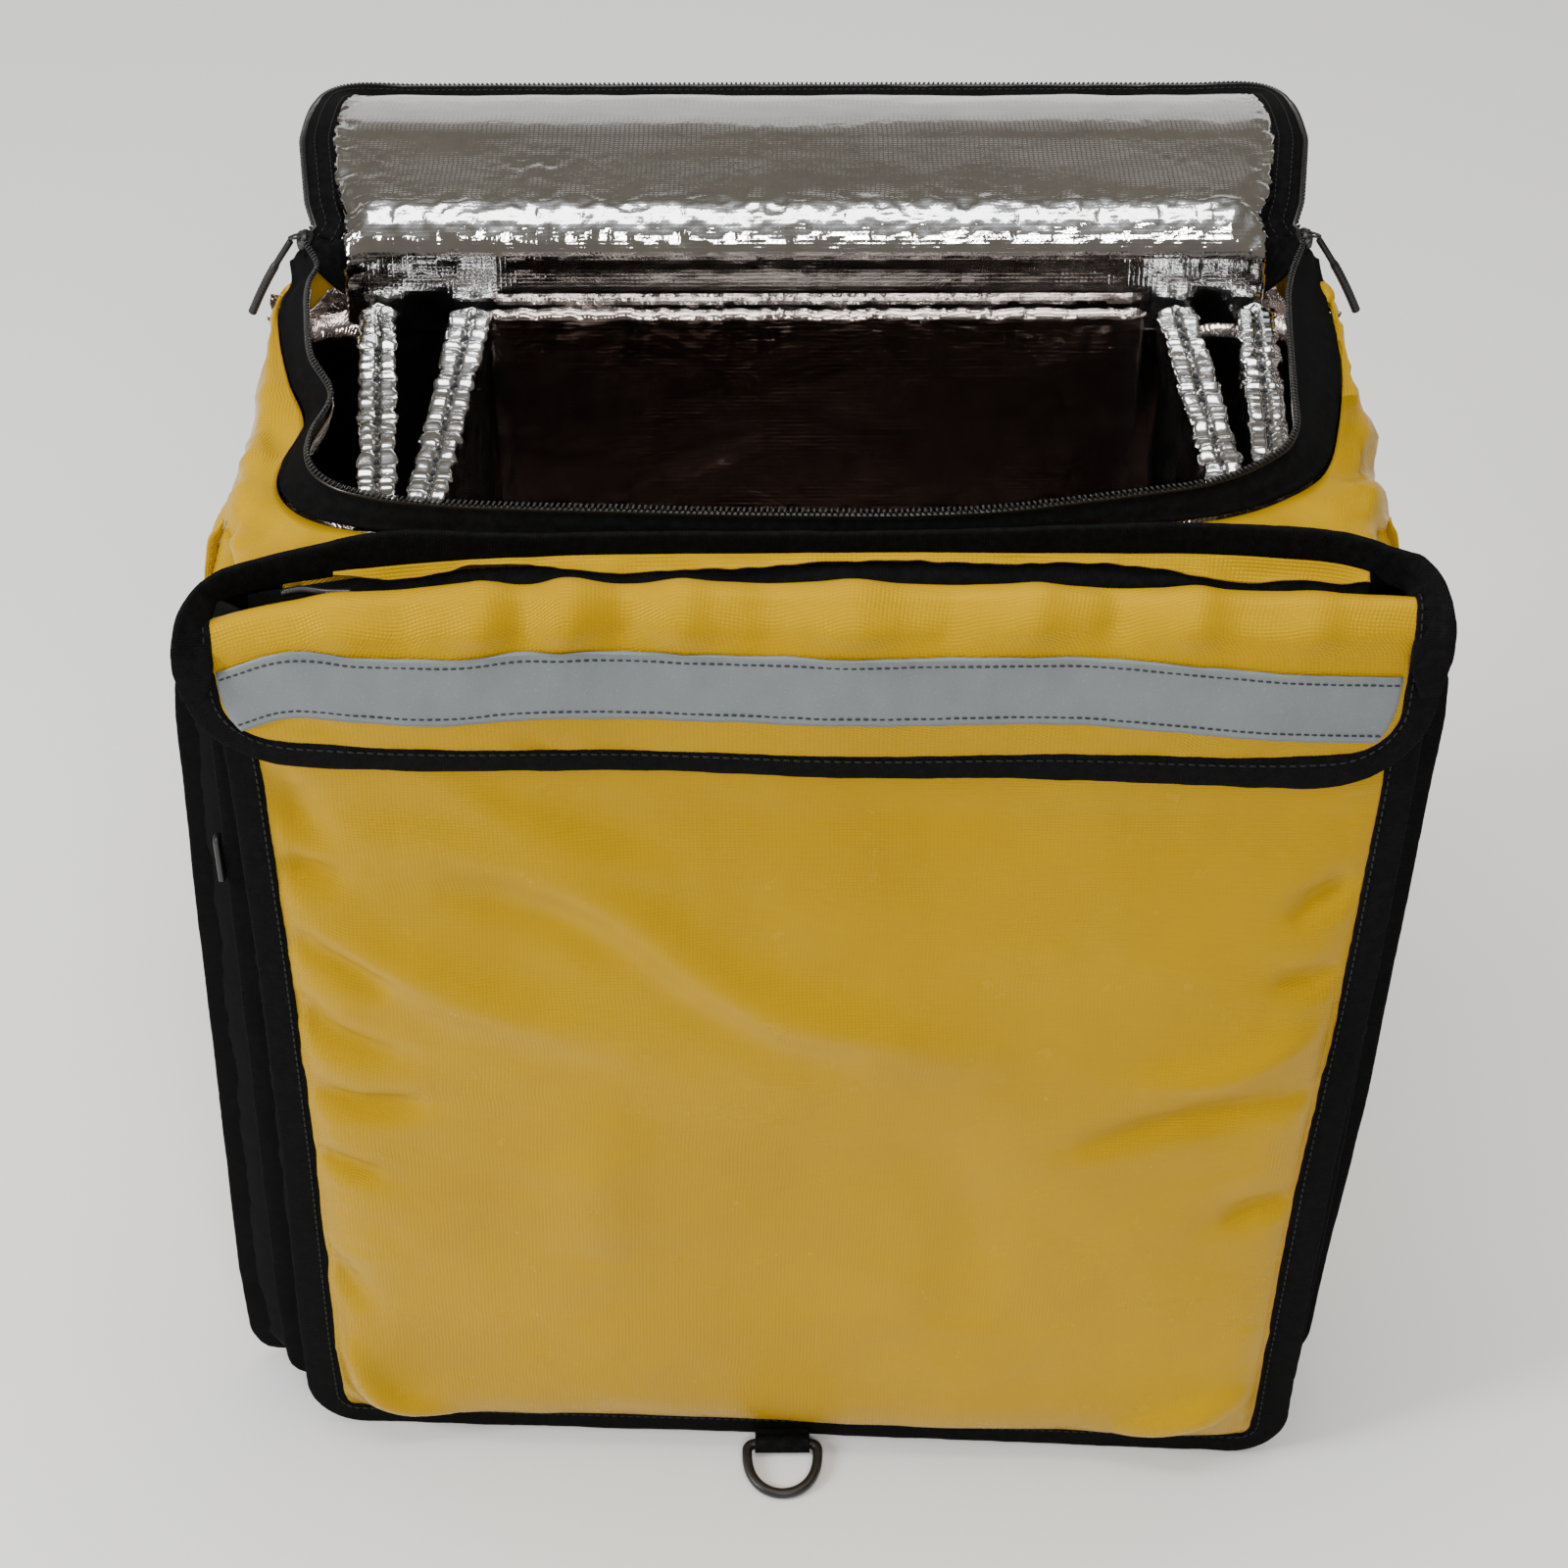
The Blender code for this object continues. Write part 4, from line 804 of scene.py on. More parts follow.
def build_body():
    """The bag's main shell, with its shoulders and folds."""
    rings = [body_ring(section.height * BODY_HEIGHT) for section in BODY_SECTIONS]
    rings.append(with_lip(shoulder(rings[-1], FOOT, 0.30, 0.0080)))
    rings.append(FOOT)
    points = loft(rings, 51, 30, len(rings) - 4)
    out = grid_normals(points, loop=True)
    height = points[..., 2]
    fade = smooth_step(0.010, 0.060, height) * smooth_step(0.0, 0.012, np.abs(height - 0.531))
    side = 0.0016 * rough(points, 0.060, 2, 3.0) + 0.0006 * rough(points, 0.018, 2, 8.0)
    edge = np.linspace(1.0, 0.0, 10)
    settle = np.ones(points.shape[:2])
    settle[-10:] *= edge[:, None] ** 0.7
    folds = 1.9 * crease_field(points, SHOULDER_FOLDS) + crease_field(points, SIDE_FOLDS)
    wrinkles = 0.0015 * rough(points * np.array([1.0, 1.0, 0.6]), 0.024, 2, 9.0, ridged=True)
    folds = folds + wrinkles * smooth_step(0.42, 0.50, height)
    seat = 1.0 - smooth_step(-0.088, -0.100, points[..., 1]) * smooth_step(0.515, 0.480, height)
    points = points + out * ((side + folds) * fade * settle * seat)[..., None]
    points[..., 0] += np.sign(points[..., 0]) * corner_bulge(points[..., 0], points[..., 1], height)
    middle = points[0].mean(axis=0)
    floor = [middle + (points[0] - middle) * share for share in (0.02, 0.5)]
    points = np.concatenate([np.array(floor), points])
    grid_piece("bag_body", points, "shell_cloth", SHELL_WALL, -1.0, loop=True, node="main_shell")
    return points[2:]


def keep_inside(points, outside, gap):
    """Draws points in until they lie a gap behind the nearest spot of a surface."""
    out = grid_normals(outside, loop=True).reshape(-1, 3)
    spots = outside.reshape(-1, 3)
    tree = KDTree(len(spots))
    for number, spot in enumerate(spots):
        tree.insert(spot, number)
    tree.balance()
    result = points.reshape(-1, 3).copy()
    low = (result[:, 2] < 0.517) | (result[:, 1] > 0.070)
    for index in np.flatnonzero(low):
        for _ in range(3):
            near = tree.find(result[index])[1]
            over = float(np.dot(result[index] - spots[near], out[near])) + gap
            result[index] -= out[near] * max(over, 0.0)
    return result.reshape(points.shape)


def build_side_seams():
    """Raised sewn seams up the front corners of the body."""
    for name, side in (("left", -1.0), ("right", 1.0)):
        heights = np.linspace(0.445, 0.5120, 28)
        line = []
        for z in heights:
            wide, front, back, square = body_size(z)
            y = -0.080
            deep = (front + back) / 2.0
            middle = (back - front) / 2.0
            x = wide * (1.0 - abs((y - middle) / deep) ** square) ** (1.0 / square)
            line.append((side * (x + 0.0016 + float(corner_bulge(side * x, y, z))), y, z))
        line = resample(line, 70)
        out = unit(xyz(side, np.full(len(line), -0.35), 0.2 + 0.8 * smooth_step(0.50, 0.52, line[:, 2])))
        along = unit(np.gradient(line, axis=0))
        width = 0.0046 * (1.0 - 0.75 * smooth_step(0.504, 0.512, line[:, 2]))
        tape_piece("side_seam_" + name, line, out, width, 0.0022, "shell_cloth", 3.0, 10, 0.0004, 0.012)
        lift = np.cross(along, out)
        stitch_line("side_stitches_" + name, (line + lift * 0.0011)[:58], lift[:58], "yellow_thread",
                    0.0036, 0.0026)


def rim_order(start_share, end_share):
    """The loop's places along the opening, from one rear corner round the front to the other."""
    turn = ANGLES % (2.0 * math.pi)
    start = math.atan2(BODY_BACK * start_share, -BODY_HALF_WIDTH * 0.83)
    end = math.atan2(BODY_BACK * end_share, BODY_HALF_WIDTH * 0.83) + 2.0 * math.pi
    chosen = [(angle + (2.0 * math.pi if angle < start else 0.0), index) for index, angle in enumerate(turn)]
    return [index for angle, index in sorted(chosen) if start <= angle <= end]


def zip_teeth(name, line, across, size=(0.0011, 0.0026, 0.0017)):
    """Teeth at an even pitch, standing across the line."""
    line = np.asarray(line)
    count = int(length_of(line) / TOOTH_PITCH)
    spots = even(line, count)
    sides = ways(across, count)
    along = unit(np.gradient(spots, axis=0))
    beads(name, spots, along, sides, size, "zip_teeth", 0.8)


def corner_slider(side):
    """Where the zip slider sits at a rear corner of the opening."""
    along, up = lid_point(0.048)
    return np.array([side * (LID_HALF_WIDTH * 0.925 + 0.010), float(along), float(up)])


def far_lift(share, raise_by):
    """Lets the lid's far end stay nearly level instead of curling down."""
    return raise_by * smooth_step(0.72, 1.0, share)


def build_lid_foil(inset):
    """The lid's foil: smooth far out, faintly scrimmed in the middle, crushed at the hinge fold."""
    points, shares, spread = lid_grid(inset, 0.080, 0.0015, 70, 220)
    side = np.minimum(1.0 - np.abs(spread), 0.06) / 0.06
    shorter = (0.30 + 0.70 * np.sqrt(side))[None]
    level = points[shares > 0.47][0, :, 2]
    near_part = np.clip((shares - 0.080) / 0.39, 0.0, 1.0)[:, None]
    target = FOLD_BASE + FOLD_RISE + (level[None] - FOLD_BASE - FOLD_RISE) * near_part
    lifted = np.maximum(target - points[..., 2], 0.0) * (near_part < 1.0)
    points[..., 2] += lifted * shorter + far_lift(shares, -0.004)[:, None]
    fold = lid_fold_rows(points[0])
    height = fold[..., 2] - FOLD_BASE
    fold[..., 2] -= np.maximum(height, 0.0) * (1.0 - shorter) * 0.75
    points = np.concatenate([resample(np.concatenate([fold, points[:1]]), 52), points[1:]])
    share = (points[:, :1, 1] - 0.0983) / LID_DEPTH
    curtain = (1.0 - smooth_step(0.508, 0.526, points[:, 130:131, 2])) * (points[:, :1, 1] < 0.098)
    out = grid_normals(points)
    out *= np.sign(out[80:81, 130:131, 2:3])
    side = np.minimum(1.0 - np.abs(spread), 0.05) / 0.05
    far = np.clip((share[-1] - share) / 0.05, 0.0, 1.0)
    edge = np.sqrt(side)[None] * np.sqrt(far)
    near = np.exp(-((share - 0.03) / 0.060) ** 2) * (1.0 - 0.7 * curtain)
    streaks = rough(points * np.array([1.0, 0.22, 0.22]), 0.0040, 2, 9.0)
    broad = rough(points * np.array([1.0, 0.30, 0.30]), 0.0130, 1, 19.0)
    crush = rough(points, 0.0058, 2, 5.0, ridged=True)
    patch = smooth_step(-0.1, 0.5, rough(points, 0.060, 2, 15.0))
    middle = np.exp(-((share - 0.22) / 0.10) ** 2)
    relief = near * (0.0008 * streaks + 0.0012 * broad + 0.0007 * crush) + middle * patch * 0.0005 * crush
    ends = (1.0 - side)[None] * (0.0013 * crush + 0.0006)
    waves = 0.0008 * rough(points * np.array([0.55, 1.0, 1.0]), 0.045, 2, 1.0) * (1.0 - 0.6 * curtain)
    lumps = 0.0016 * smooth_step(0.62, 0.85, share) * np.maximum(rough(points, 0.045, 2, 6.0) + 0.25, 0.0)
    points = points + out * ((0.0010 * (1.0 - curtain) + waves + lumps) * edge + relief * (0.3 + 0.7 * edge)
                             + ends * far * (1.0 - curtain))[..., None]
    foil = grid_piece("lid_foil", points, "smooth_foil", FOIL_WALL, -1.0, node="lid_liner")


def gusset_taper(points):
    """Draws the gusset's upper ends in and down under the flap's corners."""
    share = smooth_step(0.455, 0.506, points[..., 2])
    limit = 0.2385 + 0.0080 * (1.0 - share)
    over = np.maximum(np.abs(points[..., 0]) - limit, 0.0) * share
    result = points.copy()
    result[..., 0] -= np.sign(points[..., 0]) * over
    result[..., 2] -= 0.007 * share
    return result


def build_rim():
    """Zip tape round the opening, with its teeth, up to the slider at each rear corner."""
    order = rim_order(0.84, 0.80)
    foot, teeth = moved(FOOT, 0.0012, -0.0012)[order], TEETH[order]
    ends = []
    for side in (-1.0, 1.0):
        slider = corner_slider(side)
        ends.append((slider + np.array([side * 0.0075, -0.0010, -0.0105]),
                     slider + np.array([0.0, -0.004, 0.0004])))
    foot = even(resample(np.vstack([ends[0][0], foot[4:-4:6], ends[1][0]]), 1200), 460)
    teeth = even(resample(np.vstack([ends[0][1], teeth[4:-4:6], ends[1][1]]), 1200), 460)
    rows = []
    outward = unit(foot - teeth)
    lift = np.cross(unit(np.gradient(teeth, axis=0)), outward)
    for share in np.linspace(0.0, 1.0, 9):
        crown = 0.0009 * math.sin(math.pi * share) + 0.0005 * math.sin(3.0 * math.pi * share)
        rows.append(foot + (teeth - foot) * share + lift * crown)
    points = np.array(rows)
    points = points + lift[None] * (0.0008 * rough(points, 0.020, 2, 4.0))[..., None]
    grid_piece("rim_tape", points, "zip_tape", TAPE_WALL, 0.0, node="rim_band")
    cord = teeth + np.array([0.0, 0.0, 0.0004]) - outward * 0.0002
    tape_piece("rim_zip_cord", cord, Z_WAY, 0.0018, 0.0018,
               "zip_teeth", 2.0, 8, node="rim_zip")
    zip_teeth("rim_zip_teeth", teeth + np.array([0.0, 0.0, 0.0013]) - outward * 0.0009, outward)
    for share in (0.30, 0.62):
        line = foot + (teeth - foot) * share + lift * 0.0016
        stitch_line("rim_stitches_%d" % (share * 100), line, lift, "black_thread", *FINE_STITCH)


def lid_point(share, lift=0.0):
    """Place in Y and Z along the lid's arch, from hinge to far edge."""
    share = np.asarray(share, float)
    slope = (LID_ARCH * 4.0 * (1.0 - 2.0 * share) - LID_FALL) / LID_DEPTH
    along = BODY_BACK * 0.945 + LID_DEPTH * share
    up = BODY_HEIGHT - LID_SEAT - LID_FALL * share + LID_ARCH * 4.0 * share * (1.0 - share)
    length = np.hypot(1.0, slope)
    return along - lift * slope / length, up + lift / length


def lid_half(share):
    straight = np.minimum(share, 1.0 - LID_CORNER / LID_DEPTH)
    return LID_HALF_WIDTH * np.interp(straight, [0.0, 0.15, 0.4, 1.0], [0.925, 0.965, 0.995, 1.0])


def lid_cut(share, inset):
    """How far the lid's rounded far corners draw in."""
    reach = LID_CORNER - inset
    ahead = np.clip((share - (1.0 - LID_CORNER / LID_DEPTH)) * LID_DEPTH, 0.0, reach)
    return reach - np.sqrt(np.maximum(reach ** 2 - ahead ** 2, 0.0))


def lid_grid(inset, first, lift, rows, cols):
    """Points of the lid's surface, with their shares of its depth and width."""
    corner = 1.0 - LID_CORNER / LID_DEPTH
    reach = LID_CORNER - inset
    turns = np.linspace(0.0, math.pi / 2.0, rows // 4)[1:]
    shares = np.concatenate([np.linspace(first, corner, rows - rows // 4),
                             corner + reach * np.sin(turns) / LID_DEPTH])
    along, up = lid_point(shares, lift)
    half = lid_half(shares) - inset - lid_cut(shares, inset)
    spread = np.linspace(-1.0, 1.0, cols)
    points = np.zeros((len(shares), cols, 3))
    points[..., 0] = half[:, None] * spread[None]
    points[..., 1] = along[:, None]
    points[..., 2] = up[:, None]
    return points, shares, spread


def lid_edge(inset, count, raise_by):
    """The lid's outline: left side out from the hinge, far edge, right side back."""
    corner = 1.0 - LID_CORNER / LID_DEPTH
    reach = LID_CORNER - inset
    turns = np.linspace(0.0, math.pi / 2.0, 24)[1:]
    shares = np.concatenate([np.linspace(LID_START, corner, 30), corner + reach * np.sin(turns) / LID_DEPTH])
    cuts = np.concatenate([np.zeros(30), reach * (1.0 - np.cos(turns))])
    along, up = lid_point(shares)
    left = xyz(inset + cuts - lid_half(shares), along, up + far_lift(shares, raise_by))
    slider = corner_slider(-1.0)
    start = slider + np.array([inset + 0.001, 0.003 - inset * 0.35, -inset * 0.10])
    far = np.array([(left[-1][0] * part, left[-1][1], left[-1][2]) for part in np.linspace(0.97, 0.0, 30)])
    half = np.vstack([start[None], left, far])
    mirrored = half[::-1][1:] * np.array([-1.0, 1.0, 1.0])
    return even(np.vstack([half, mirrored]), count)


def lid_fold_rows(first):
    """The lid lining's rounded fold over the hinge, with the foil that hangs below it."""
    rows = []
    for y, z in ((0.0870, 0.4960), (0.0872, 0.5060), (0.0880, 0.5160), (0.0905, FOLD_BASE)):
        rows.append((y, z))
    for turn in np.linspace(math.pi / 2.0, 0.12, 9)[1:]:
        rows.append((0.0905 + 0.0199 * (1.0 - math.sin(turn)), FOLD_BASE + FOLD_RISE * math.cos(turn)))
    result = []
    for y, z in rows:
        row = first.copy()
        row[:, 1] = y
        row[:, 2] = z
        result.append(row)
    return np.array(result)


def build_tape_ends():
    """Crumpled ends of the zip tape, tucked in between the lid's lining and each slider."""
    for name, side in (("left", -1.0), ("right", 1.0)):
        slider = corner_slider(side)
        mirror = np.array([-side, 1.0, 1.0])
        high = slider + mirror * np.array([(0.0000, 0.0040, 0.0010), (0.0140, -0.0005, 0.0006),
                                           (0.0255, -0.0060, 0.0040)])
        low = slider + mirror * np.array([(0.0000, -0.0110, -0.0010), (0.0120, -0.0160, -0.0130),
                                          (0.0262, -0.0172, -0.0240)])
        high, low = resample(high, 44), resample(low, 44)
        share = np.linspace(0.0, 1.0, 26)[:, None, None]
        points = high[None] * (1.0 - share) + low[None] * share
        across = np.linspace(0.0, 1.0, 44)[None]
        settle = np.sin(np.pi * share[..., 0]) ** 0.6 * (0.3 + 0.7 * np.sin(np.pi * across) ** 0.5)
        points[..., 2] += settle * (0.0020 + 0.0026 * rough(points, 0.0110, 2, 81.0 + side, ridged=True))
        points[..., 1] += settle * 0.0016 * rough(points, 0.0090, 2, 84.0 + side)
        grid_piece("zip_tape_end_" + name, points, "zip_tape", 0.0012, 0.0)


def build_lid():
    """The open lid: yellow outside, zip band round it, crinkled foil on its lining."""
    inset = LID_BAND + 0.0005
    points, shares, _ = lid_grid(inset, 0.016, 0.0, 40, 90)
    points[..., 2] += 0.0006 * rough(points, 0.05, 2, 2.0) + far_lift(shares, -0.004)[:, None]
    shell = grid_piece("lid_cover", points, "shell_cloth", SHELL_WALL, -1.0, node="lid_shell")
    build_lid_foil(inset - 0.0010)

    outer, inner = lid_edge(0.0, 400, 0.0090), lid_edge(LID_BAND, 400, -0.0040)
    rows = []
    for share in np.linspace(0.0, 1.0, 8):
        line = outer + (inner - outer) * share
        line[:, 2] += 0.0010 * math.sin(math.pi * share) + 0.0010 * share
        rows.append(line)
    points = np.array(rows)
    points[..., 2] += 0.0008 * rough(points, 0.025, 2, 7.0)
    grid_piece("lid_tape", points, "zip_tape", TAPE_WALL, 0.0, node="lid_band")
    side = unit(outer - inner)
    cord = outer + side * 0.0006
    tape_piece("lid_zip_cord", cord, side, 0.0022, 0.0022, "zip_teeth", 2.0, 8, node="lid_zip")
    zip_teeth("lid_zip_teeth", outer + side * 0.0016, side)
    for share in (0.34, 0.80):
        line = outer + (inner - outer) * share
        line[:, 2] += 0.0010 * math.sin(math.pi * share) + 0.0010 * share + 0.0009
        stitch_line("lid_stitches_%d" % (share * 100), line, Z_WAY, "black_thread", *FINE_STITCH)


def build_liner(outside):
    """Foil lining inside the body, up to the zip's teeth and behind the lid's fold."""
    face = SHELL_WALL + FOIL_WALL + LINER_PADDING
    kept = BODY_SECTIONS[2:-1:2] + BODY_SECTIONS[-1:]
    rings = [body_ring(section.height * BODY_HEIGHT, face) for section in kept]
    rings[-1] = moved(rings[-1], 0.0, 0.006)
    teeth = moved(TEETH, 0.0006, 0.0026)
    lowered = moved(FOOT, 0.0060, 0.0075)
    rear = smooth_step(0.070, 0.086, TEETH[:, 1])[:, None]
    teeth = teeth + (moved(FOOT, 0.0030, 0.0110) - teeth) * rear
    lowered = lowered + (moved(FOOT, 0.0042, 0.0160) - lowered) * rear
    rings.append(shoulder(rings[-1], lowered, 0.6, 0.0))
    rings.append(lowered + (teeth - lowered) * 0.45)
    rings.append(teeth)
    points = loft(rings, 34, 30, len(rings) - 5)
    out = grid_normals(points, loop=True)
    relief = 0.0012 * rough(points, 0.050, 2, 11.0) + 0.0007 * rough(points, 0.016, 2, 12.0, ridged=True)
    upper = smooth_step(0.480, 0.510, points[..., 2])
    relief = relief + upper * 0.0012 * rough(points, 0.0090, 2, 13.0, ridged=True)
    settle = np.ones(points.shape[:2])
    settle[-5:] = np.linspace(0.8, 0.0, 5)[:, None]
    points = keep_inside(points - out * ((relief + 0.001) * settle)[..., None], outside, 0.0055)
    middle = points[0].mean(axis=0)
    floor = np.array([middle + (points[0] - middle) * share for share in (0.02, 0.5)])
    points = np.concatenate([floor, points])
    # The lining takes the darker foil colour: painted shade and painted reflection for the bag's dim inside.
    grid_piece("inner_foil", points, "shaded_foil", 0.0010, -1.0, loop=True, node="inner_liner")


BoardPlace = namedtuple("BoardPlace", "name start end foot_start foot_end wall")


def board_places():
    """Top and foot corners of the boards, seen from above."""
    liner = SHELL_WALL + FOIL_WALL + LINER_PADDING + 0.0005
    front = -(BODY_FRONT * 0.81 - liner)
    back = BODY_BACK * 0.91 - liner - 0.0020
    places = []
    for name, rear, fore, foot in (("side_board_left", -0.745, -0.690, -0.830),
                                   ("divider_left", -0.580, -0.620, -0.640),
                                   ("divider_right", 0.645, 0.690, 0.700),
                                   ("side_board_right", 0.785, 0.755, 0.860)):
        lean = (foot - (rear + fore) / 2.0) * BODY_HALF_WIDTH
        start, end = (rear * BODY_HALF_WIDTH, back), (fore * BODY_HALF_WIDTH, front)
        places.append(BoardPlace(name, start, end, (start[0] + lean, back), (end[0] + lean, front), 0.013))
    half, shift, y = BODY_HALF_WIDTH * 0.575, BODY_HALF_WIDTH * 0.02, back - 0.004
    places.append(BoardPlace("back_board", (shift - half, y), (shift + half, y),
                             (shift - half, y), (shift + half, y), 0.008))
    return places


def build_boards():
    """Foil-wrapped padded boards with a stitched seam along the middle of the top edge."""
    low, high = 0.0087, 0.503
    for place_number, board in enumerate(board_places()):
        back = board.name == "back_board"
        columns = 170 if back else 130
        half = board.wall / 2.0
        wider = 0.0 if back else 0.0026
        round_off = 0.0037 if back else 0.0022
        face = np.concatenate([np.linspace(low, high - 0.14, 6), np.linspace(high - 0.13, high - 0.020, 22),
                               np.linspace(high - 0.018, high - round_off, 14)])
        turn = np.linspace(math.pi, math.pi / 2.0, 5)[1:]
        rounded = np.stack([-half + round_off + round_off * np.cos(turn),
                            high - round_off + round_off * np.sin(turn)], axis=1)
        flat = np.linspace(-half + round_off, half - round_off, 15)[1:-1]
        profile = np.vstack([np.stack([np.full(42, -half), face], axis=1), rounded,
                             np.stack([flat, np.full(13, high)], axis=1),
                             rounded[::-1] * np.array([-1.0, 1.0]),
                             np.stack([np.full(42, half), face[::-1]], axis=1)])
        share = np.linspace(0.0, 1.0, columns)
        top = np.outer(1.0 - share, board.start) + np.outer(share, board.end)
        foot = np.outer(1.0 - share, board.foot_start) + np.outer(share, board.foot_end)
        along = unit(np.array([*(np.array(board.end) - np.array(board.start)), 0.0]))
        square = np.array([-along[1], along[0], 0.0])
        up = (profile[:, 1] - low) / (high - low)
        points = np.zeros((columns, len(profile), 3))
        points[..., :2] = foot[:, None, :] * (1.0 - up)[None, :, None] + top[:, None, :] * up[None, :, None]
        points[..., 2] = profile[None, :, 1]
        end_round = np.minimum(np.minimum(share, 1.0 - share) * columns / 4.0, 1.0)[:, None] ** 0.5
        near_top = smooth_step(high - 0.034, high - 0.008, profile[:, 1])[None]
        offset = profile[None, :, 0] * (1.0 + wider / half * near_top) * end_round
        outline = np.clip(profile[None, :, 0] / half, -1.0, 1.0)
        on_top = smooth_step(high - 0.0035, high - 0.0005, profile[:, 1])[None]
        seed = 3.0 + place_number * 4.0
        slanted = points + points[..., :1] * np.array([0.0, 0.9, 0.0])
        stretched = slanted * np.array([0.45, 1.0, 0.5])
        crumple = (0.0009 * rough(points, 0.014, 2, seed, ridged=True) * (0.35 + 0.65 * near_top)
                   + 0.0008 * rough(stretched, 0.0075, 2, seed + 1.0, ridged=True) * near_top
                   + 0.0008 * rough(points, 0.040, 1, seed + 2.0))
        offset = offset + outline * (crumple * (0.5 if back else 1.0) - 0.0004) * end_round
        points = points + square[None, None] * offset[..., None]
        groove = np.exp(-(profile[:, 0] / 0.0011) ** 2)[None]
        pucker = (0.0011 * rough(slanted * np.array([0.4, 1.0, 0.6]), 0.0064, 2, seed + 3.0, ridged=True)
                  + 0.0008 * rough(points, 0.016, 1, seed + 3.5))
        rise = np.full(columns, 0.008) if back else 0.002 + 0.0065 * (1.0 - share)
        points[..., 2] += on_top * (pucker - (0.0 if back else 0.0017) * groove)
        points[..., 2] += rise[:, None] * smooth_step(0.35, 1.0, up)[None]
        # The back board takes the darker foil colour as painted shade; the side boards keep the plain foil.
        piece = grid_piece("padded_" + board.name, points, "shaded_foil" if back else "foil", loop=True,
                           node=board.name)
        if back:
            continue
        line = xyz(top[:, 0], top[:, 1], high - 0.0014 + rise)[4:-4]
        stitch_line("stitches_" + board.name, line, Z_WAY, "dark_thread",
                    0.0042, 0.0028, 0.0008)


def pocket_side(name, height):
    share = height / POCKET_TOP
    return POCKET_HALF_WIDTH * np.interp(share, column(POCKET_SIDES, "height"), column(POCKET_SIDES, name))


def pocket_left(height):
    return -pocket_side("left", height)


def pocket_right(height):
    return pocket_side("right", height)


def pocket_base_y(x, z):
    """The pocket's front plane, with its left foot set back and its right foot forward."""
    low = np.maximum(0.0, 1.0 - z / POCKET_TOP)
    across = x / POCKET_HALF_WIDTH
    return -POCKET_FRONT + low * (-0.010 * np.minimum(across, 0.0) - 0.012 * np.maximum(across, 0.0))


def u_path(left_of, right_of, top, bottom, radius, inset, side=60, corner=16, base=90):
    """Left side down, round the bottom corners, right side up, as x and z."""
    low = bottom + radius
    heights = np.linspace(top, low, side)
    turn = np.linspace(0.0, math.pi / 2.0, corner + 1)[1:]
    reach = radius - inset
    left_middle, right_middle = left_of(low) + radius, right_of(low) - radius
    back = np.concatenate([[0.0], turn])
    parts = [
        (left_of(heights) + inset, heights),
        (left_middle - reach * np.cos(turn), low - reach * np.sin(turn)),
        (np.linspace(left_middle, right_middle, base)[1:-1], np.full(base - 2, bottom + inset)),
        (right_middle + reach * np.sin(back), low - reach * np.cos(back)),
        (right_of(heights[-2::-1]) - inset, heights[-2::-1]),
    ]
    return np.hstack([np.stack(np.broadcast_arrays(x, z)) for x, z in parts]).T


def fill_grid(left_of, right_of, top, bottom, radius, inset, straight, corner, columns):
    """A grid of x and z that fills a U outline from its top to its bottom edge."""
    low = bottom + radius
    reach = radius - inset
    turn = np.linspace(0.0, math.pi / 2.0, corner + 1)[1:]
    z = np.concatenate([np.linspace(top, low, straight), low - reach * np.sin(turn)])
    cut = np.concatenate([np.zeros(straight), reach * (1.0 - np.cos(turn))])
    left = left_of(np.maximum(z, low)) + inset + cut
    right = right_of(np.maximum(z, low)) - inset - cut
    spread = np.linspace(0.0, 1.0, columns)
    x = left[:, None] * (1.0 - spread) + right[:, None] * spread
    return x, np.broadcast_to(z[:, None], x.shape).copy()


def flat_folds(x, z, creases):
    return crease_field(xyz(x, 0.0, z), creases)


def flat_creases(*rows):
    """Creases from rows of height, width and the line's points in X and Z."""
    return [Crease(height, width, [(x, 0.0, z) for x, z in line]) for height, width, *line in rows]


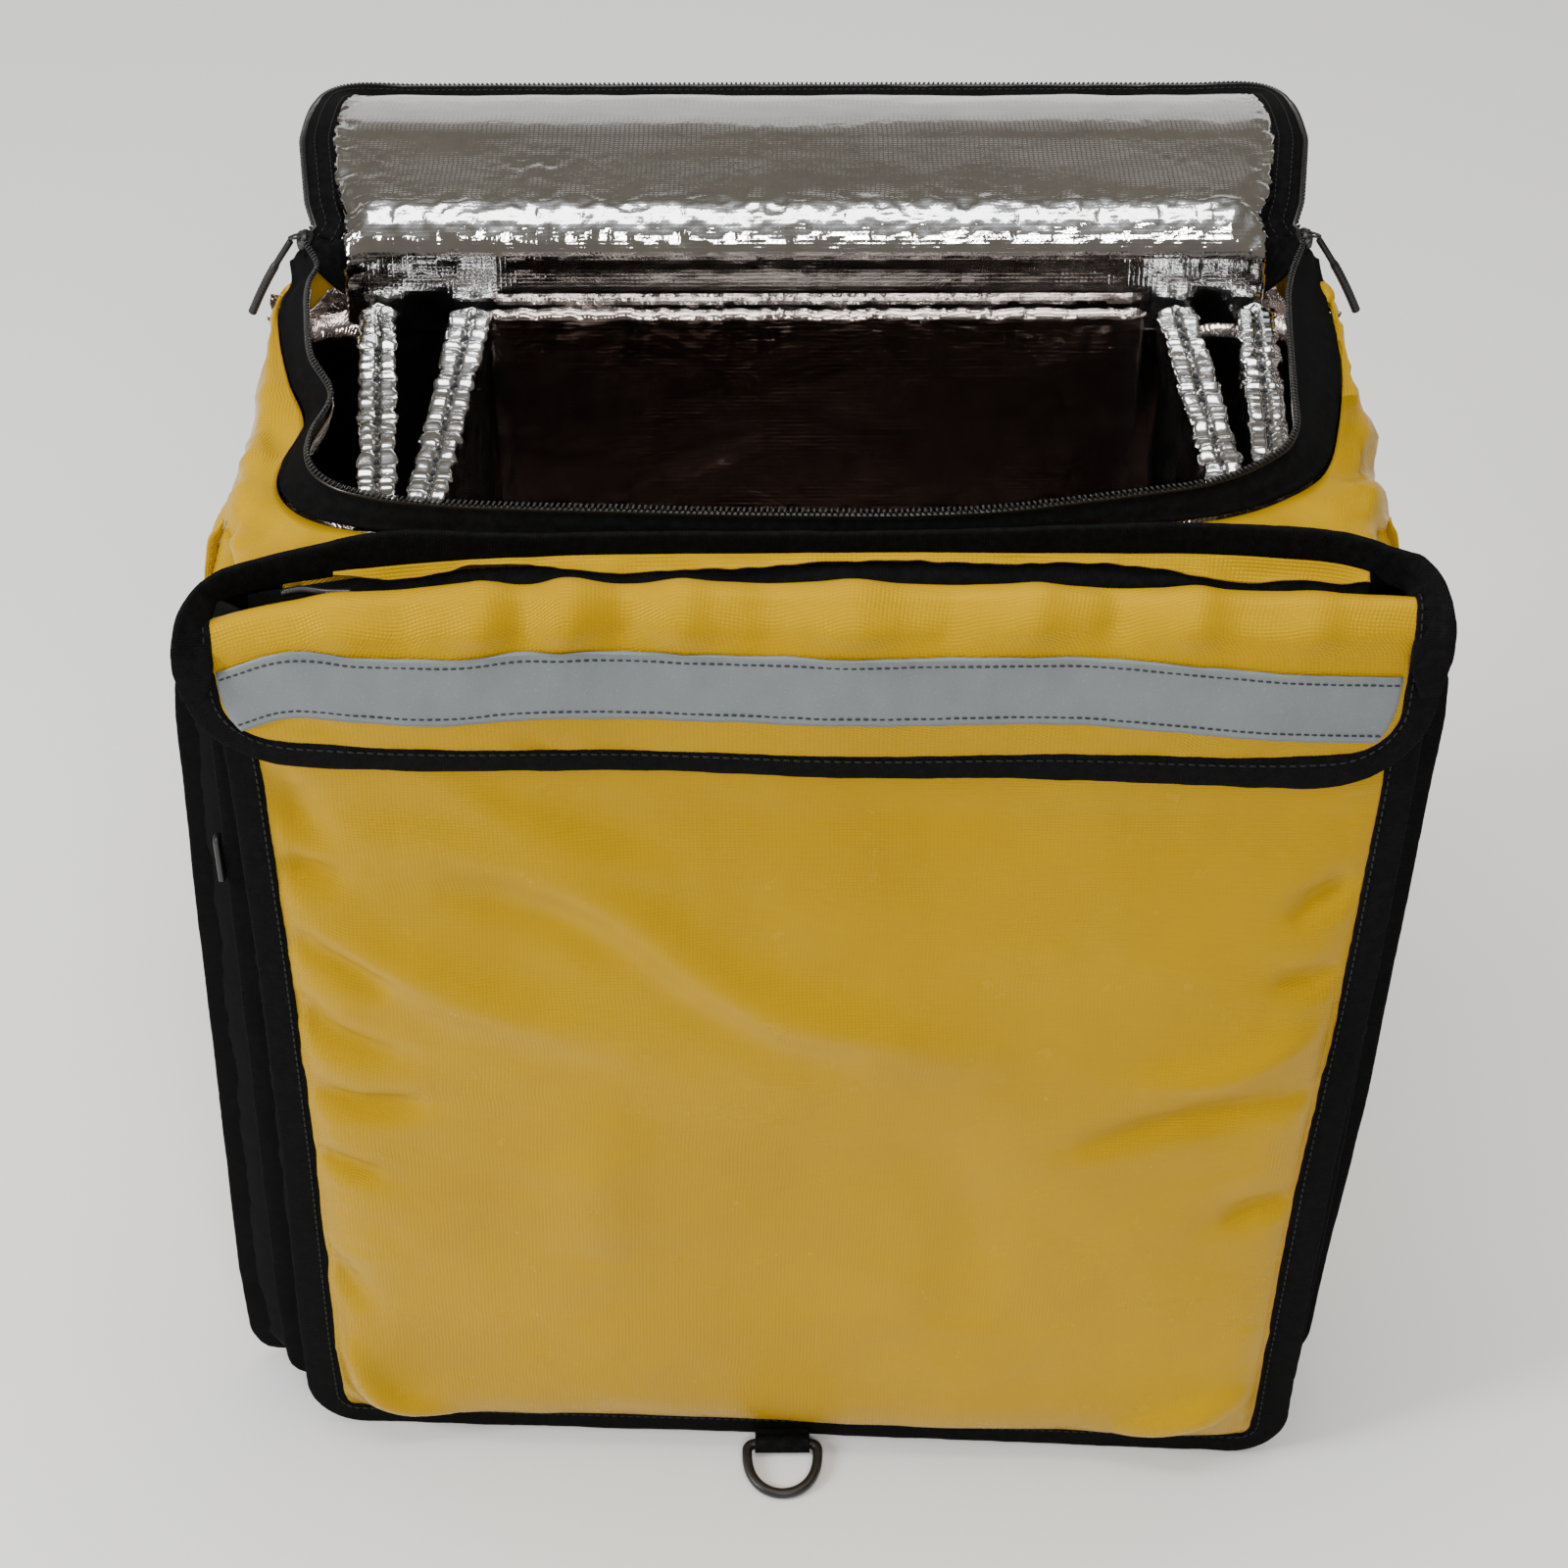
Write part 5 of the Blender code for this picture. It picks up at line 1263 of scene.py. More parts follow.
PANEL_FOLDS = flat_creases(
    (0.0042, 0.0150, (-0.174, 0.403), (-0.139, 0.398), (-0.107, 0.384), (-0.076, 0.361),
     (-0.052, 0.336), (-0.010, 0.309), (0.024, 0.300), (0.075, 0.281)),
    (-0.0026, 0.0130, (-0.160, 0.380), (-0.125, 0.374), (-0.096, 0.360), (-0.068, 0.338),
     (-0.044, 0.314), (0.000, 0.288)),
    (0.0020, 0.0110, (-0.155, 0.440), (-0.129, 0.419), (-0.090, 0.398), (-0.051, 0.384)),
    (0.0030, 0.0140, (-0.212, 0.353), (-0.168, 0.330), (-0.128, 0.309), (-0.082, 0.294)),
    (-0.0030, 0.0090, (-0.223, 0.443), (-0.209, 0.418), (-0.196, 0.395)),
    (-0.0036, 0.0070, (-0.221, 0.391), (-0.204, 0.382), (-0.190, 0.378)),
    (-0.0040, 0.0080, (-0.221, 0.349), (-0.200, 0.334), (-0.175, 0.319)),
    (-0.0040, 0.0080, (-0.222, 0.314), (-0.210, 0.292), (-0.176, 0.278)),
    (-0.0042, 0.0075, (-0.223, 0.253), (-0.197, 0.246), (-0.166, 0.250)),
    (-0.0030, 0.0070, (-0.224, 0.208), (-0.205, 0.203), (-0.190, 0.198)),
    (-0.0030, 0.0080, (-0.227, 0.140), (-0.212, 0.115), (-0.206, 0.098)),
    (0.0040, 0.0090, (-0.226, 0.076), (-0.205, 0.030), (-0.171, 0.018)),
    (-0.0030, 0.0080, (0.226, 0.264), (0.196, 0.256), (0.155, 0.243), (0.117, 0.227)),
    (0.0026, 0.0100, (0.222, 0.300), (0.178, 0.275), (0.140, 0.269)),
    (-0.0030, 0.0080, (0.228, 0.385), (0.213, 0.372), (0.200, 0.360)),
    (-0.0026, 0.0070, (0.227, 0.335), (0.212, 0.328), (0.196, 0.330)),
    (-0.0030, 0.0080, (0.224, 0.190), (0.206, 0.186), (0.188, 0.178)),
    (0.0036, 0.0100, (0.216, 0.056), (0.182, 0.036), (0.150, 0.024)),
    (0.0018, 0.0180, (-0.093, 0.251), (-0.094, 0.205), (-0.093, 0.144)),
    (-0.0018, 0.0200, (0.060, 0.240), (0.075, 0.170), (0.070, 0.100)),
)


def panel_depth(x, z, left, right, low):
    """How far the pocket's front stands out of its edges, with a flat strip along them."""
    side = np.minimum(x - left, right - x)
    across = np.abs(2.0 * x - left - right) / (right - left)
    up = z - low
    turn = np.clip((side - 0.0040) / 0.026, 0.0, 1.0)
    boxy = np.sqrt(np.maximum(1.0 - (1.0 - turn) ** 2, 0.0))
    swell = np.maximum(1.0 - across ** 5, 0.0)
    foot = np.clip((up - 0.0030) / 0.030, 0.0, 1.0)
    rise = np.sqrt(np.maximum(1.0 - (1.0 - foot) ** 2, 0.0))
    share = up / (POCKET_TOP - low)
    fall = 1.0 - 0.78 * np.clip((share - 0.55) / 0.27, 0.0, 1.0) ** 1.5
    folds = flat_folds(x, z, PANEL_FOLDS)
    near = np.clip(side / 0.010, 0.0, 1.0) * np.clip(up / 0.008, 0.0, 1.0)
    covered = 1.0 - smooth_step(FLAP_BOTTOM + 0.012, FLAP_BOTTOM + 0.045, z)
    places = xyz(x, 0.0, z)
    soft = 0.0022 * rough(places, 0.110, 2, 21.0) + 0.0008 * rough(places, 0.032, 2, 22.0)
    ripple = 0.0007 * rough(places * np.array([1.0, 1.0, 2.2]), 0.016, 2, 23.0) * np.exp(-(side / 0.030) ** 2)
    return (0.012 * (0.62 * boxy + 0.38 * swell) * rise * fall
            + (1.9 * folds + 1.3 * soft + 1.6 * ripple) * near * covered)


def build_front_panel():
    """The pocket's yellow front, with its binding tape."""
    inset = BINDING_WIDTH - 0.0016
    x, z = fill_grid(pocket_left, pocket_right, POCKET_TOP, POCKET_FLOOR, POCKET_CORNER,
                     inset, 158, 12, 174)
    low = POCKET_FLOOR + inset
    y = pocket_base_y(x, z) - panel_depth(x, z, x[:, :1], x[:, -1:], low)
    points = xyz(x, y, z)
    panel = grid_piece("front_panel", points, "shell_cloth", CLOTH_WALL, 0.0, flip=True, node="pocket_panel")

    edges = []
    for share in (0.0, 1.0):
        path = u_path(pocket_left, pocket_right, POCKET_TOP, POCKET_FLOOR, POCKET_CORNER,
                      BINDING_WIDTH * share)
        edges.append(xyz(path[:, 0], pocket_base_y(path[:, 0], path[:, 1]), path[:, 1]))
    edge_tape("front_tape", edges, 620, BINDING_WALL, 0.0005, 31.0, node="pocket_binding")
    inner = even(edges[0] + (edges[1] - edges[0]) * 0.84, 620)
    stitch_line("front_stitches", inner + np.array([0.0, -BINDING_WALL / 2.0 - 0.0001, 0.0]),
                -Y_WAY, "black_thread", *BINDING_STITCH)


def edge_tape(name, edges, count, thick, ripple, seed, node):
    """Binding tape between its two edge lines."""
    outer, inner = even(edges[0], count), even(edges[1], count)
    fray = 1.0 + 0.035 * rough(outer, 0.0040, 2, seed + 2.0) + 0.03 * rough(outer, 0.030, 1, seed)
    width = np.linalg.norm(inner - outer, axis=1) * fray
    tape_piece(name, (outer + inner) / 2.0, inner - outer, width, thick, "black_tape", 5.0, 16, ripple, 0.018,
               seed, node=node)


PLEATS = table(
    "across out",
    (0.00, 0.00),
    (0.16, -0.15),
    (0.34, 0.42),
    (0.52, 0.30),
    (0.72, 1.00),
    (0.88, 0.62),
    (1.00, 0.00),
)


def gusset_seat(height):
    return body_size(height)[0] * 0.93


def gusset_stations():
    """Points across the gusset at each pleat, and the way out, from the left top round to the right."""
    steps = {"side": 90, "corner": 12, "base": 50}
    front = u_path(pocket_left, pocket_right, POCKET_TOP, POCKET_FLOOR, POCKET_CORNER, GUSSET_INSET, **steps)
    rear = u_path(lambda z: -gusset_seat(z), gusset_seat, POCKET_TOP, POCKET_FLOOR, POCKET_CORNER,
                  GUSSET_INSET, **steps)
    along = np.gradient(rear, axis=0)
    length = np.hypot(along[:, 0], along[:, 1])
    turn = np.stack([along[:, 1] / length, -along[:, 0] / length], axis=1)
    rear_y = body_wall(rear[:, 0], rear[:, 1], -1.0)
    start = xyz(front[:, 0], pocket_base_y(front[:, 0], front[:, 1]) + 0.0025, front[:, 1])
    end = xyz(rear[:, 0], rear_y - 0.0025, rear[:, 1])
    outward = xyz(turn[:, 0], 0.0, turn[:, 1])
    ridge = np.where(front[:, 0] < 0.0, pocket_side("left_ridge", rear[:, 1]),
                     pocket_side("right_ridge", rear[:, 1]))
    crest = ridge - RIDGE_WIDTH - 0.0015
    rows = []
    for pleat in PLEATS:
        spot = start + (end - start) * pleat.across
        room = spot[:, 2] - POCKET_FLOOR - GUSSET_INSET
        reach = np.maximum(crest - np.abs(spot[:, 0]), 0.0) * turn[:, 0] ** 2
        reach = np.minimum(reach, room / np.maximum(np.abs(turn[:, 1]), 0.001))
        rows.append(spot + outward * (reach * pleat.out)[:, None])
    return np.array(rows), outward


def build_gusset():
    """The pocket's pleated black sides, with a binding on two of the pleats."""
    rows, outward = gusset_stations()
    points = hermite(np.array([pleat.across for pleat in PLEATS]), rows, np.linspace(0.0, 1.0, 40))
    share = np.linspace(0.0, 1.0, 40)[:, None]
    edge = np.sin(np.pi * share) ** 0.5
    sides = np.abs(outward[:, 0])[None] ** 2
    crumple = (0.0022 * rough(points, 0.030, 2, 41.0) + 0.0013 * rough(points, 0.011, 2, 42.0)
               + 0.0010 * rough(points * np.array([1.0, 0.4, 1.6]), 0.016, 2, 43.0, ridged=True))
    points = points + outward[None] * (crumple * edge * (0.25 + 0.75 * sides))[..., None]
    gusset = grid_piece("pleated_gusset", gusset_taper(points), "black_cloth", 0.0016, 0.0,
                        node="pocket_gusset")
    for name, index in (("mid", 2), ("rear", 4)):
        low, high = rows[index] - outward * 0.0030, rows[index] + outward * (0.0022 + RIDGE_WIDTH)
        shift = np.zeros_like(low)
        shift[:, 1] = 0.0012 * rough(low, 0.020, 2, 44.0 + index)
        edge_tape("gusset_ridge_" + name, (gusset_taper(low), gusset_taper(high + shift)), 460, 0.0028,
                  0.0006, 45.0 + index, node="gusset_%s_binding" % name)
    return rows, outward


FOLD_TURNS = table(
    "back rise",
    (1.00, -0.0040),
    (0.68, -0.0008),
    (0.30, 0.0000),
    (-0.05, -0.0008),
    (-0.35, -0.0035),
)


def flap_y(x, z):
    across = x / FLAP_HALF_WIDTH
    up = (z - FLAP_BOTTOM) / (FLAP_TOP - FLAP_BOTTOM)
    side = np.maximum(0.0, 1.0 - np.abs(across) ** 6)
    puff = 0.006 * side * (1.0 - 0.6 * np.abs(2.0 * np.minimum(up, 1.0) - 1.0) ** 2)
    return pocket_base_y(x, z) - 0.0044 - puff - 0.0012 * np.sin(across * 9.0 + 1.0) * side


def fold_shape(x):
    """How far the fold drops towards its ends, more on the left, and its depth."""
    share = np.abs(x / FLAP_HALF_WIDTH)
    drop = 0.003 + np.where(x < 0.0, 0.0205 * share ** 4.7, 0.0064 * share ** 1.2)
    return drop, 0.010 * (1.0 - 0.45 * share ** 6)


def fold_point(x, turn):
    """A place on the rounded fold over the top of the pocket."""
    drop, depth = fold_shape(x)
    return xyz(x, pocket_base_y(x, FLAP_TOP) + depth * turn.back, FLAP_TOP + turn.rise - drop)


def hang_point(x, z):
    """A place on the flap's hanging front, lowered towards the fold's ends and raised at its foot."""
    low = FLAP_BOTTOM + FLAP_CORNER
    share = np.maximum(0.0, (z - low) / (FLAP_FACE_TOP - low))
    foot = 1.0 - np.clip((z - FLAP_BOTTOM) / (FLAP_FACE_TOP - FLAP_BOTTOM), 0.0, 1.0)
    return xyz(x, flap_y(x, z), z - fold_shape(x)[0] * share + (0.0055 - 0.020 * x) * foot)


def flap_left(height):
    return np.full(np.shape(height), -FLAP_HALF_WIDTH)


def flap_right(height):
    return np.full(np.shape(height), FLAP_HALF_WIDTH + 0.001)


FLAP_FOLDS = flat_creases(
    (0.0040, 0.0090, (-0.125, 0.530), (-0.127, 0.515), (-0.128, 0.500)),
    (0.0046, 0.0100, (-0.092, 0.535), (-0.094, 0.515), (-0.100, 0.500)),
    (0.0042, 0.0110, (-0.050, 0.535), (-0.050, 0.515), (-0.046, 0.502)),
    (-0.0034, 0.0075, (-0.110, 0.535), (-0.110, 0.515), (-0.112, 0.500)),
    (-0.0034, 0.0080, (-0.070, 0.535), (-0.071, 0.515), (-0.072, 0.502)),
    (0.0034, 0.0120, (0.015, 0.535), (0.018, 0.515), (0.024, 0.503)),
    (-0.0028, 0.0090, (-0.016, 0.535), (-0.014, 0.515), (-0.010, 0.503)),
    (0.0034, 0.0110, (0.088, 0.535), (0.086, 0.515), (0.080, 0.500)),
    (-0.0026, 0.0090, (0.056, 0.535), (0.054, 0.515), (0.050, 0.503)),
    (0.0036, 0.0100, (0.150, 0.532), (0.146, 0.512), (0.140, 0.498)),
    (-0.0030, 0.0080, (0.120, 0.533), (0.118, 0.513), (0.114, 0.500)),
    (0.0034, 0.0100, (-0.190, 0.530), (-0.180, 0.510), (-0.172, 0.495)),
    (-0.0030, 0.0090, (-0.160, 0.532), (-0.156, 0.512), (-0.152, 0.498)),
    (0.0030, 0.0090, (0.200, 0.525), (0.192, 0.508), (0.186, 0.494)),
    (-0.0030, 0.0080, (-0.222, 0.480), (-0.200, 0.470), (-0.180, 0.466)),
    (-0.0030, 0.0080, (0.225, 0.482), (0.205, 0.474), (0.188, 0.472)),
    (0.0030, 0.0110, (-0.215, 0.455), (-0.190, 0.450), (-0.160, 0.452)),
    (0.0024, 0.0110, (0.170, 0.448), (0.195, 0.452), (0.218, 0.462)),
)


def flap_relief(x, z):
    """Soft folds of the flap, fading at its bound edges."""
    side = np.minimum(x + FLAP_HALF_WIDTH, FLAP_HALF_WIDTH - x)
    near = smooth_step(BINDING_WIDTH + 0.002, BINDING_WIDTH + 0.014, side)
    foot = FLAP_BOTTOM + BINDING_WIDTH + 0.006
    low = smooth_step(foot, foot + 0.012, z)
    upper = 0.25 + 0.75 * smooth_step(0.504, 0.518, z)
    places = xyz(x, 0.0, z)
    soft = (0.0018 * rough(places * np.array([1.0, 1.0, 0.6]), 0.042, 2, 51.0)
            + 0.0006 * rough(places, 0.016, 2, 52.0))
    return (flat_folds(x, z, FLAP_FOLDS) * upper + soft * (0.3 + 0.7 * upper)) * near * low


def build_flap():
    """The flap over the pocket: its fold, hanging front, binding and reflective strip."""
    inset = BINDING_WIDTH - 0.0016
    x, z = fill_grid(flap_left, flap_right, FLAP_FACE_TOP - FACE_START, FLAP_BOTTOM, FLAP_CORNER,
                     inset, 40, 14, 220)
    over = np.array([fold_point(x[0], turn) for turn in FOLD_TURNS])
    points = np.concatenate([over, hang_point(x, z)])
    points = resample(points, 84)
    out = grid_normals(points)
    out *= -np.sign(out[44:45, :, 1:2])
    relief = flap_relief(points[..., 0], np.minimum(points[..., 2], FLAP_TOP))
    rear = smooth_step(0.0, 0.10, np.linspace(0.0, 1.0, 84))[:, None]
    points = points + out * (relief * rear)[..., None]
    flap = grid_piece("pocket_flap", points, "shell_cloth", CLOTH_WALL, 0.0, flip=True, node="flap")

    edges = []
    for share in (0.0, 1.0):
        path = u_path(flap_left, flap_right, FLAP_FACE_TOP - FACE_START, FLAP_BOTTOM, FLAP_CORNER,
                      BINDING_WIDTH * share, side=40, corner=20, base=120)
        over_left = np.array([fold_point(path[0, 0], turn) for turn in FOLD_TURNS])
        over_right = np.array([fold_point(path[-1, 0], turn) for turn in reversed(FOLD_TURNS)])
        edges.append(np.vstack([over_left, hang_point(path[:, 0], path[:, 1]), over_right]))
    edges = [resample(edge, 480) for edge in edges]
    edge_tape("flap_tape", edges, 480, BINDING_WALL, 0.0007, 55.0, node="flap_binding")
    line = edges[0] + (edges[1] - edges[0]) * 0.84
    ahead = unit(np.cross(np.gradient(line, axis=0), edges[1] - edges[0]))
    ahead *= -np.sign(ahead[len(ahead) // 2, 1])
    stitch_line("flap_stitches", line + ahead * (BINDING_WALL / 2.0 + 0.0001), ahead, "black_thread",
                *BINDING_STITCH)
    build_reflective_strip()


def band_level(x):
    across = column(BAND_LEVEL, "across")
    rise = hermite(across, column(BAND_LEVEL, "rise"), np.clip(np.ravel(x), across[0], across[-1]))
    return REFLECTIVE_MIDDLE + rise.reshape(np.shape(x))


def band_place(x, z, proud):
    """A place on the flap's front at a given height, proud of its cloth."""
    source = z
    for _ in range(6):
        source = source + z - hang_point(x, source)[..., 2]
    spot = hang_point(x, source)
    spot[..., 1] -= flap_relief(x, spot[..., 2]) + proud
    return spot


def build_reflective_strip():
    """Grey reflective tape with a row of stitches along each edge."""
    reach = FLAP_HALF_WIDTH - BINDING_WIDTH - 0.0010
    part = np.linspace(0.5, -0.5, 16)[:, None]
    drawn_in = 0.0065 * (0.5 - part) ** 3
    x = np.linspace(0.0, 1.0, 260)[None] * (2.0 * (reach - drawn_in)) - reach + drawn_in
    edge = 0.0006 * rough(xyz(x[0], x[0] * 0.0, x[0] * 0.0), 0.012, 2, 61.0)[None]
    z = band_level(x) + REFLECTIVE_WIDTH * part + edge * np.sign(part)
    points = band_place(x, z, 0.0016)
    places = xyz(x, x * 0.0, z)
    points[..., 1] -= 0.0005 * rough(places * np.array([1.0, 1.0, 0.4]), 0.014, 2, 62.0)
    grid_piece("reflective_strip", points, "reflective_tape", 0.0007, 0.0, flip=True,
               node="flap_reflective_band")
    for name, part in (("high", 0.385), ("low", -0.385)):
        near = reach - 0.002 - 0.0065 * (0.5 - part) ** 3
        line_x = np.linspace(-near, near, 300)
        line = band_place(line_x, band_level(line_x) + REFLECTIVE_WIDTH * part, 0.0020)
        stitch_line("strip_stitches_" + name, line, -Y_WAY, "dark_thread",
                    0.0032, 0.0021, 0.0006)


StripPoint = namedtuple("StripPoint", "across drop crumple")
CRUMPLED_STRIP = (
    StripPoint(0.00, -0.25, 0.0),
    StripPoint(0.14, 0.08, 1.0),
    StripPoint(0.28, 0.42, 1.0),
)
ZIP_VALLEY = (
    StripPoint(0.31, 0.475, 1.0),
    StripPoint(0.50, 1.08, 0.0),
    StripPoint(0.72, 0.67, 0.0),
    StripPoint(0.865, -0.17, 0.0),
)


def root_foot(x):
    return FLAP_TOP - 0.0035 * np.abs(x / POCKET_HALF_WIDTH) ** 8 - 0.012


def strip_place(x, point):
    start = root_line(x) - 0.0021
    crumple = np.sin(x * 57.0) + 0.5 * np.sin(x * 131.0 + 1.0)
    span = np.maximum(start + POCKET_FRONT - 0.010, 0.006)
    sink = fold_shape(x)[0] - 0.011 * np.abs(x / FLAP_HALF_WIDTH) ** 6
    return xyz(x, start - span * point.across,
               root_foot(x) - 0.012 * point.drop + 0.0012 * crumple * point.crumple
               - sink * max(point.across, 0.0))


def build_root():
    """The bound ridge, the crumpled strip and the zip's valley between the body and the flap."""
    x = np.linspace(-0.2290, 0.2290, 300)
    line = root_line(x)
    foot = root_foot(x)
    hump = 0.0055 * np.exp(-((x + 0.167) / 0.035) ** 2) + 0.0040 * smooth_step(0.03, 0.15, x)
    high = xyz(x, line, foot + 0.012 + hump)
    low = xyz(x, line + 0.001, foot)
    for side, corner in ((-1.0, LEFT_END), (1.0, RIGHT_END)):
        ends = np.array(corner) * np.array([side, 1.0, 1.0, side, 1.0, 1.0])
        if side > 0.0:
            high, low = np.vstack([high, ends[:, :3]]), np.vstack([low, ends[:, 3:]])
        else:
            high, low = np.vstack([ends[::-1, :3], high]), np.vstack([ends[::-1, 3:], low])
    high, low = resample(high, 360), resample(low, 360)
    fray = 1.0 + 0.04 * rough(high, 0.0045, 2, 73.0) + 0.05 * rough(high, 0.030, 1, 71.0)
    tape_piece("root_ridge", (high + low) / 2.0, high - low, np.linalg.norm(high - low, axis=1) * fray,
               BINDING_WALL, "black_tape", 5.0, 16, 0.0006, 0.018, 71.0, node="root_binding")

    x = np.linspace(STRIP_EDGE[0].across, STRIP_EDGE[-1].across, 320)
    rows = resample(np.array([strip_place(x, point) for point in CRUMPLED_STRIP]), 14)
    share = np.linspace(0.0, 1.0, 14)[:, None]
    length = hermite(column(STRIP_EDGE, "across"), column(STRIP_EDGE, "length"), x)
    rows = rows[:1] + (rows - rows[:1]) * length[None, :, None]
    rows[..., 2] += share * 0.0009 * rough(rows, 0.008, 1, 73.0)
    rows[..., 1] += share * 0.0016 * rough(rows, 0.024, 2, 74.0) - share * 0.001
    strip = grid_piece("crumpled_strip", rows, "shell_cloth", 0.0014, 0.0, node="root_strip")

    x = np.linspace(-0.2190, 0.2190, 200)
    coarse = [strip_place(x, point) for point in ZIP_VALLEY]
    start = strip_place(x, StripPoint(0.06, 0.10, 0.0))
    start[:, 1] += 0.0012
    rows = resample(np.array([start] + coarse), 18)
    rows[..., 2] += 0.0007 * rough(rows, 0.020, 2, 75.0)
    grid_piece("pocket_zip_tape", rows, "zip_tape", TAPE_WALL, 0.0, node="pocket_zip_strip")
    middle = rows[10] + np.array([0.0, 0.0, 0.0012])
    zip_teeth("pocket_zip_teeth", middle, Y_WAY, (0.0010, 0.0042, 0.0016))


def d_line():
    """Centre line of the ring: a straight bar and a round end with eased corners."""
    half, deep, ease = 0.0175, 0.028, 0.004
    turn = np.linspace(0.0, math.pi, 61)
    arc = xyz(half * np.cos(turn), -ease - (deep - ease) * np.sin(turn) ** 0.8, 0.0)
    corner = np.linspace(0.0, math.pi / 2.0, 9)[:-1]
    left = xyz(-half + ease * (1.0 - np.cos(corner)), -ease + ease * np.sin(corner), 0.0)
    bar = xyz(np.linspace(-half + ease, half - ease, 16), 0.0, 0.0)
    right = left[::-1] * np.array([-1.0, 1.0, 1.0])
    return even(np.vstack([arc, left[1:], bar, right[:-1]]), 132, closed=True)


RING_PLACE = np.array([-0.011, -0.15944, 0.005])
RING_TILT = math.asin((0.005 - 0.0025 - 0.0004) / 0.028)


def build_ring():
    """The D-ring at the foot of the pocket, in its webbing loop."""
    line = d_line()
    tilted = line.copy()
    tilted[:, 1] = line[:, 1] * math.cos(RING_TILT)
    tilted[:, 2] = line[:, 1] * math.sin(RING_TILT)
    face = (0.0, -math.sin(RING_TILT), math.cos(RING_TILT))
    tape_piece("ring_of_plastic", tilted + RING_PLACE, face, 0.005, 0.005, "black_plastic", 2.3, 20,
               body="ring", closed=True, node="d_ring")

    turn = np.linspace(math.radians(35), math.radians(325), 40)
    middle = 0.0029 + 0.00075
    y = RING_PLACE[1] + middle * np.cos(turn)
    z = RING_PLACE[2] + middle * np.sin(turn)
    y = np.concatenate([[-0.1517, -0.1535], y, [-0.1535, -0.1517]])
    z = np.concatenate([[z[0] + 0.0002, z[0] + 0.0001], z, [z[-1] - 0.0001, z[-1] - 0.0002]])
    across = np.linspace(-0.0135, 0.0135, 24)
    rows = np.zeros((24, len(y), 3))
    rows[..., 0] = RING_PLACE[0] + across[:, None]
    rows[..., 1] = y[None]
    rows[..., 2] = z[None]
    grid_piece("webbing_loop", rows, "webbing", 0.0015, 0.0, node="ring_loop")


def rod(name, line, radius, look, node):
    """A round rod along a line, with its own radius at each point."""
    line = np.asarray(line, float)
    along = unit(np.gradient(line, axis=0))
    guide = np.where(np.abs(along[:, 1:2]) > 0.9, X_WAY, Y_WAY)
    radius = np.broadcast_to(np.asarray(radius, float), (len(line),))
    tape_piece(name, line, guide, radius * 2.0, radius * 2.0, look, 2.0, 18, node=node)


def build_sliders():
    """Zip sliders at the lid's rear corners, with their long moulded pullers."""
    for name, side in (("left", -1.0), ("right", 1.0)):
        middle = corner_slider(side)
        run = np.linspace(-1.0, 1.0, 24)
        line = middle + xyz(0.0, run * 0.0065, 0.0)
        width = 0.0080 * (1.0 - 0.34 * run ** 2 + 0.10 * run) * np.clip((1.0 - np.abs(run)) * 6.0, 0.30, 1.0)
        tape_piece("slider_" + name, line, X_WAY, width,
                   0.0046 * np.clip((1.0 - np.abs(run)) * 5.0, 0.5, 1.0), "black_plastic", 5.0, 28,
                   node="zip_slider_" + name)
        bridge_turn = np.linspace(0.0, math.pi, 20)
        bridge = middle + xyz(0.0, 0.0042 * np.cos(bridge_turn), 0.0018 + 0.0022 * np.sin(bridge_turn))
        tape_piece("slider_bridge_" + name, bridge, X_WAY, 0.0024, 0.0011,
                   "black_plastic", 3.0, 12)
        start = middle + np.array([side * (0.0040 + 0.0024), 0.0, 0.0])
        lean = np.array([side * 0.50, 0.0, -0.866])
        share = np.linspace(0.0, 1.0, 80)
        bow = np.sin(np.pi * share)[:, None] * np.array([side * 0.0012, 0.0, 0.0])
        path = start + lean * (0.044 * share)[:, None] + bow
        radius = 0.00155 + 0.00045 * smooth_step(0.30, 0.36, share)
        radius = radius + 0.00010 * np.sin(share * 2.0 * math.pi * 24.0) * smooth_step(0.36, 0.40, share)
        radius = radius * np.sqrt(np.clip(np.minimum(share + 0.006, 1.006 - share) / 0.020, 0.05, 1.0))
        rod("puller_" + name, path, radius, "black_plastic", node="slider_puller_" + name)
        link_turn = np.linspace(0.0, 2.0 * math.pi, 40, endpoint=False)
        reach = xyz(side * (0.0030 + 0.0042 * np.cos(link_turn)), 0.0016 * np.sin(link_turn),
                    0.0022 - 0.0010 * np.cos(link_turn))
        tape_piece("puller_link_" + name, middle + reach, Z_WAY, 0.0012, 0.0012,
                   "black_plastic", 2.0, 10, closed=True)


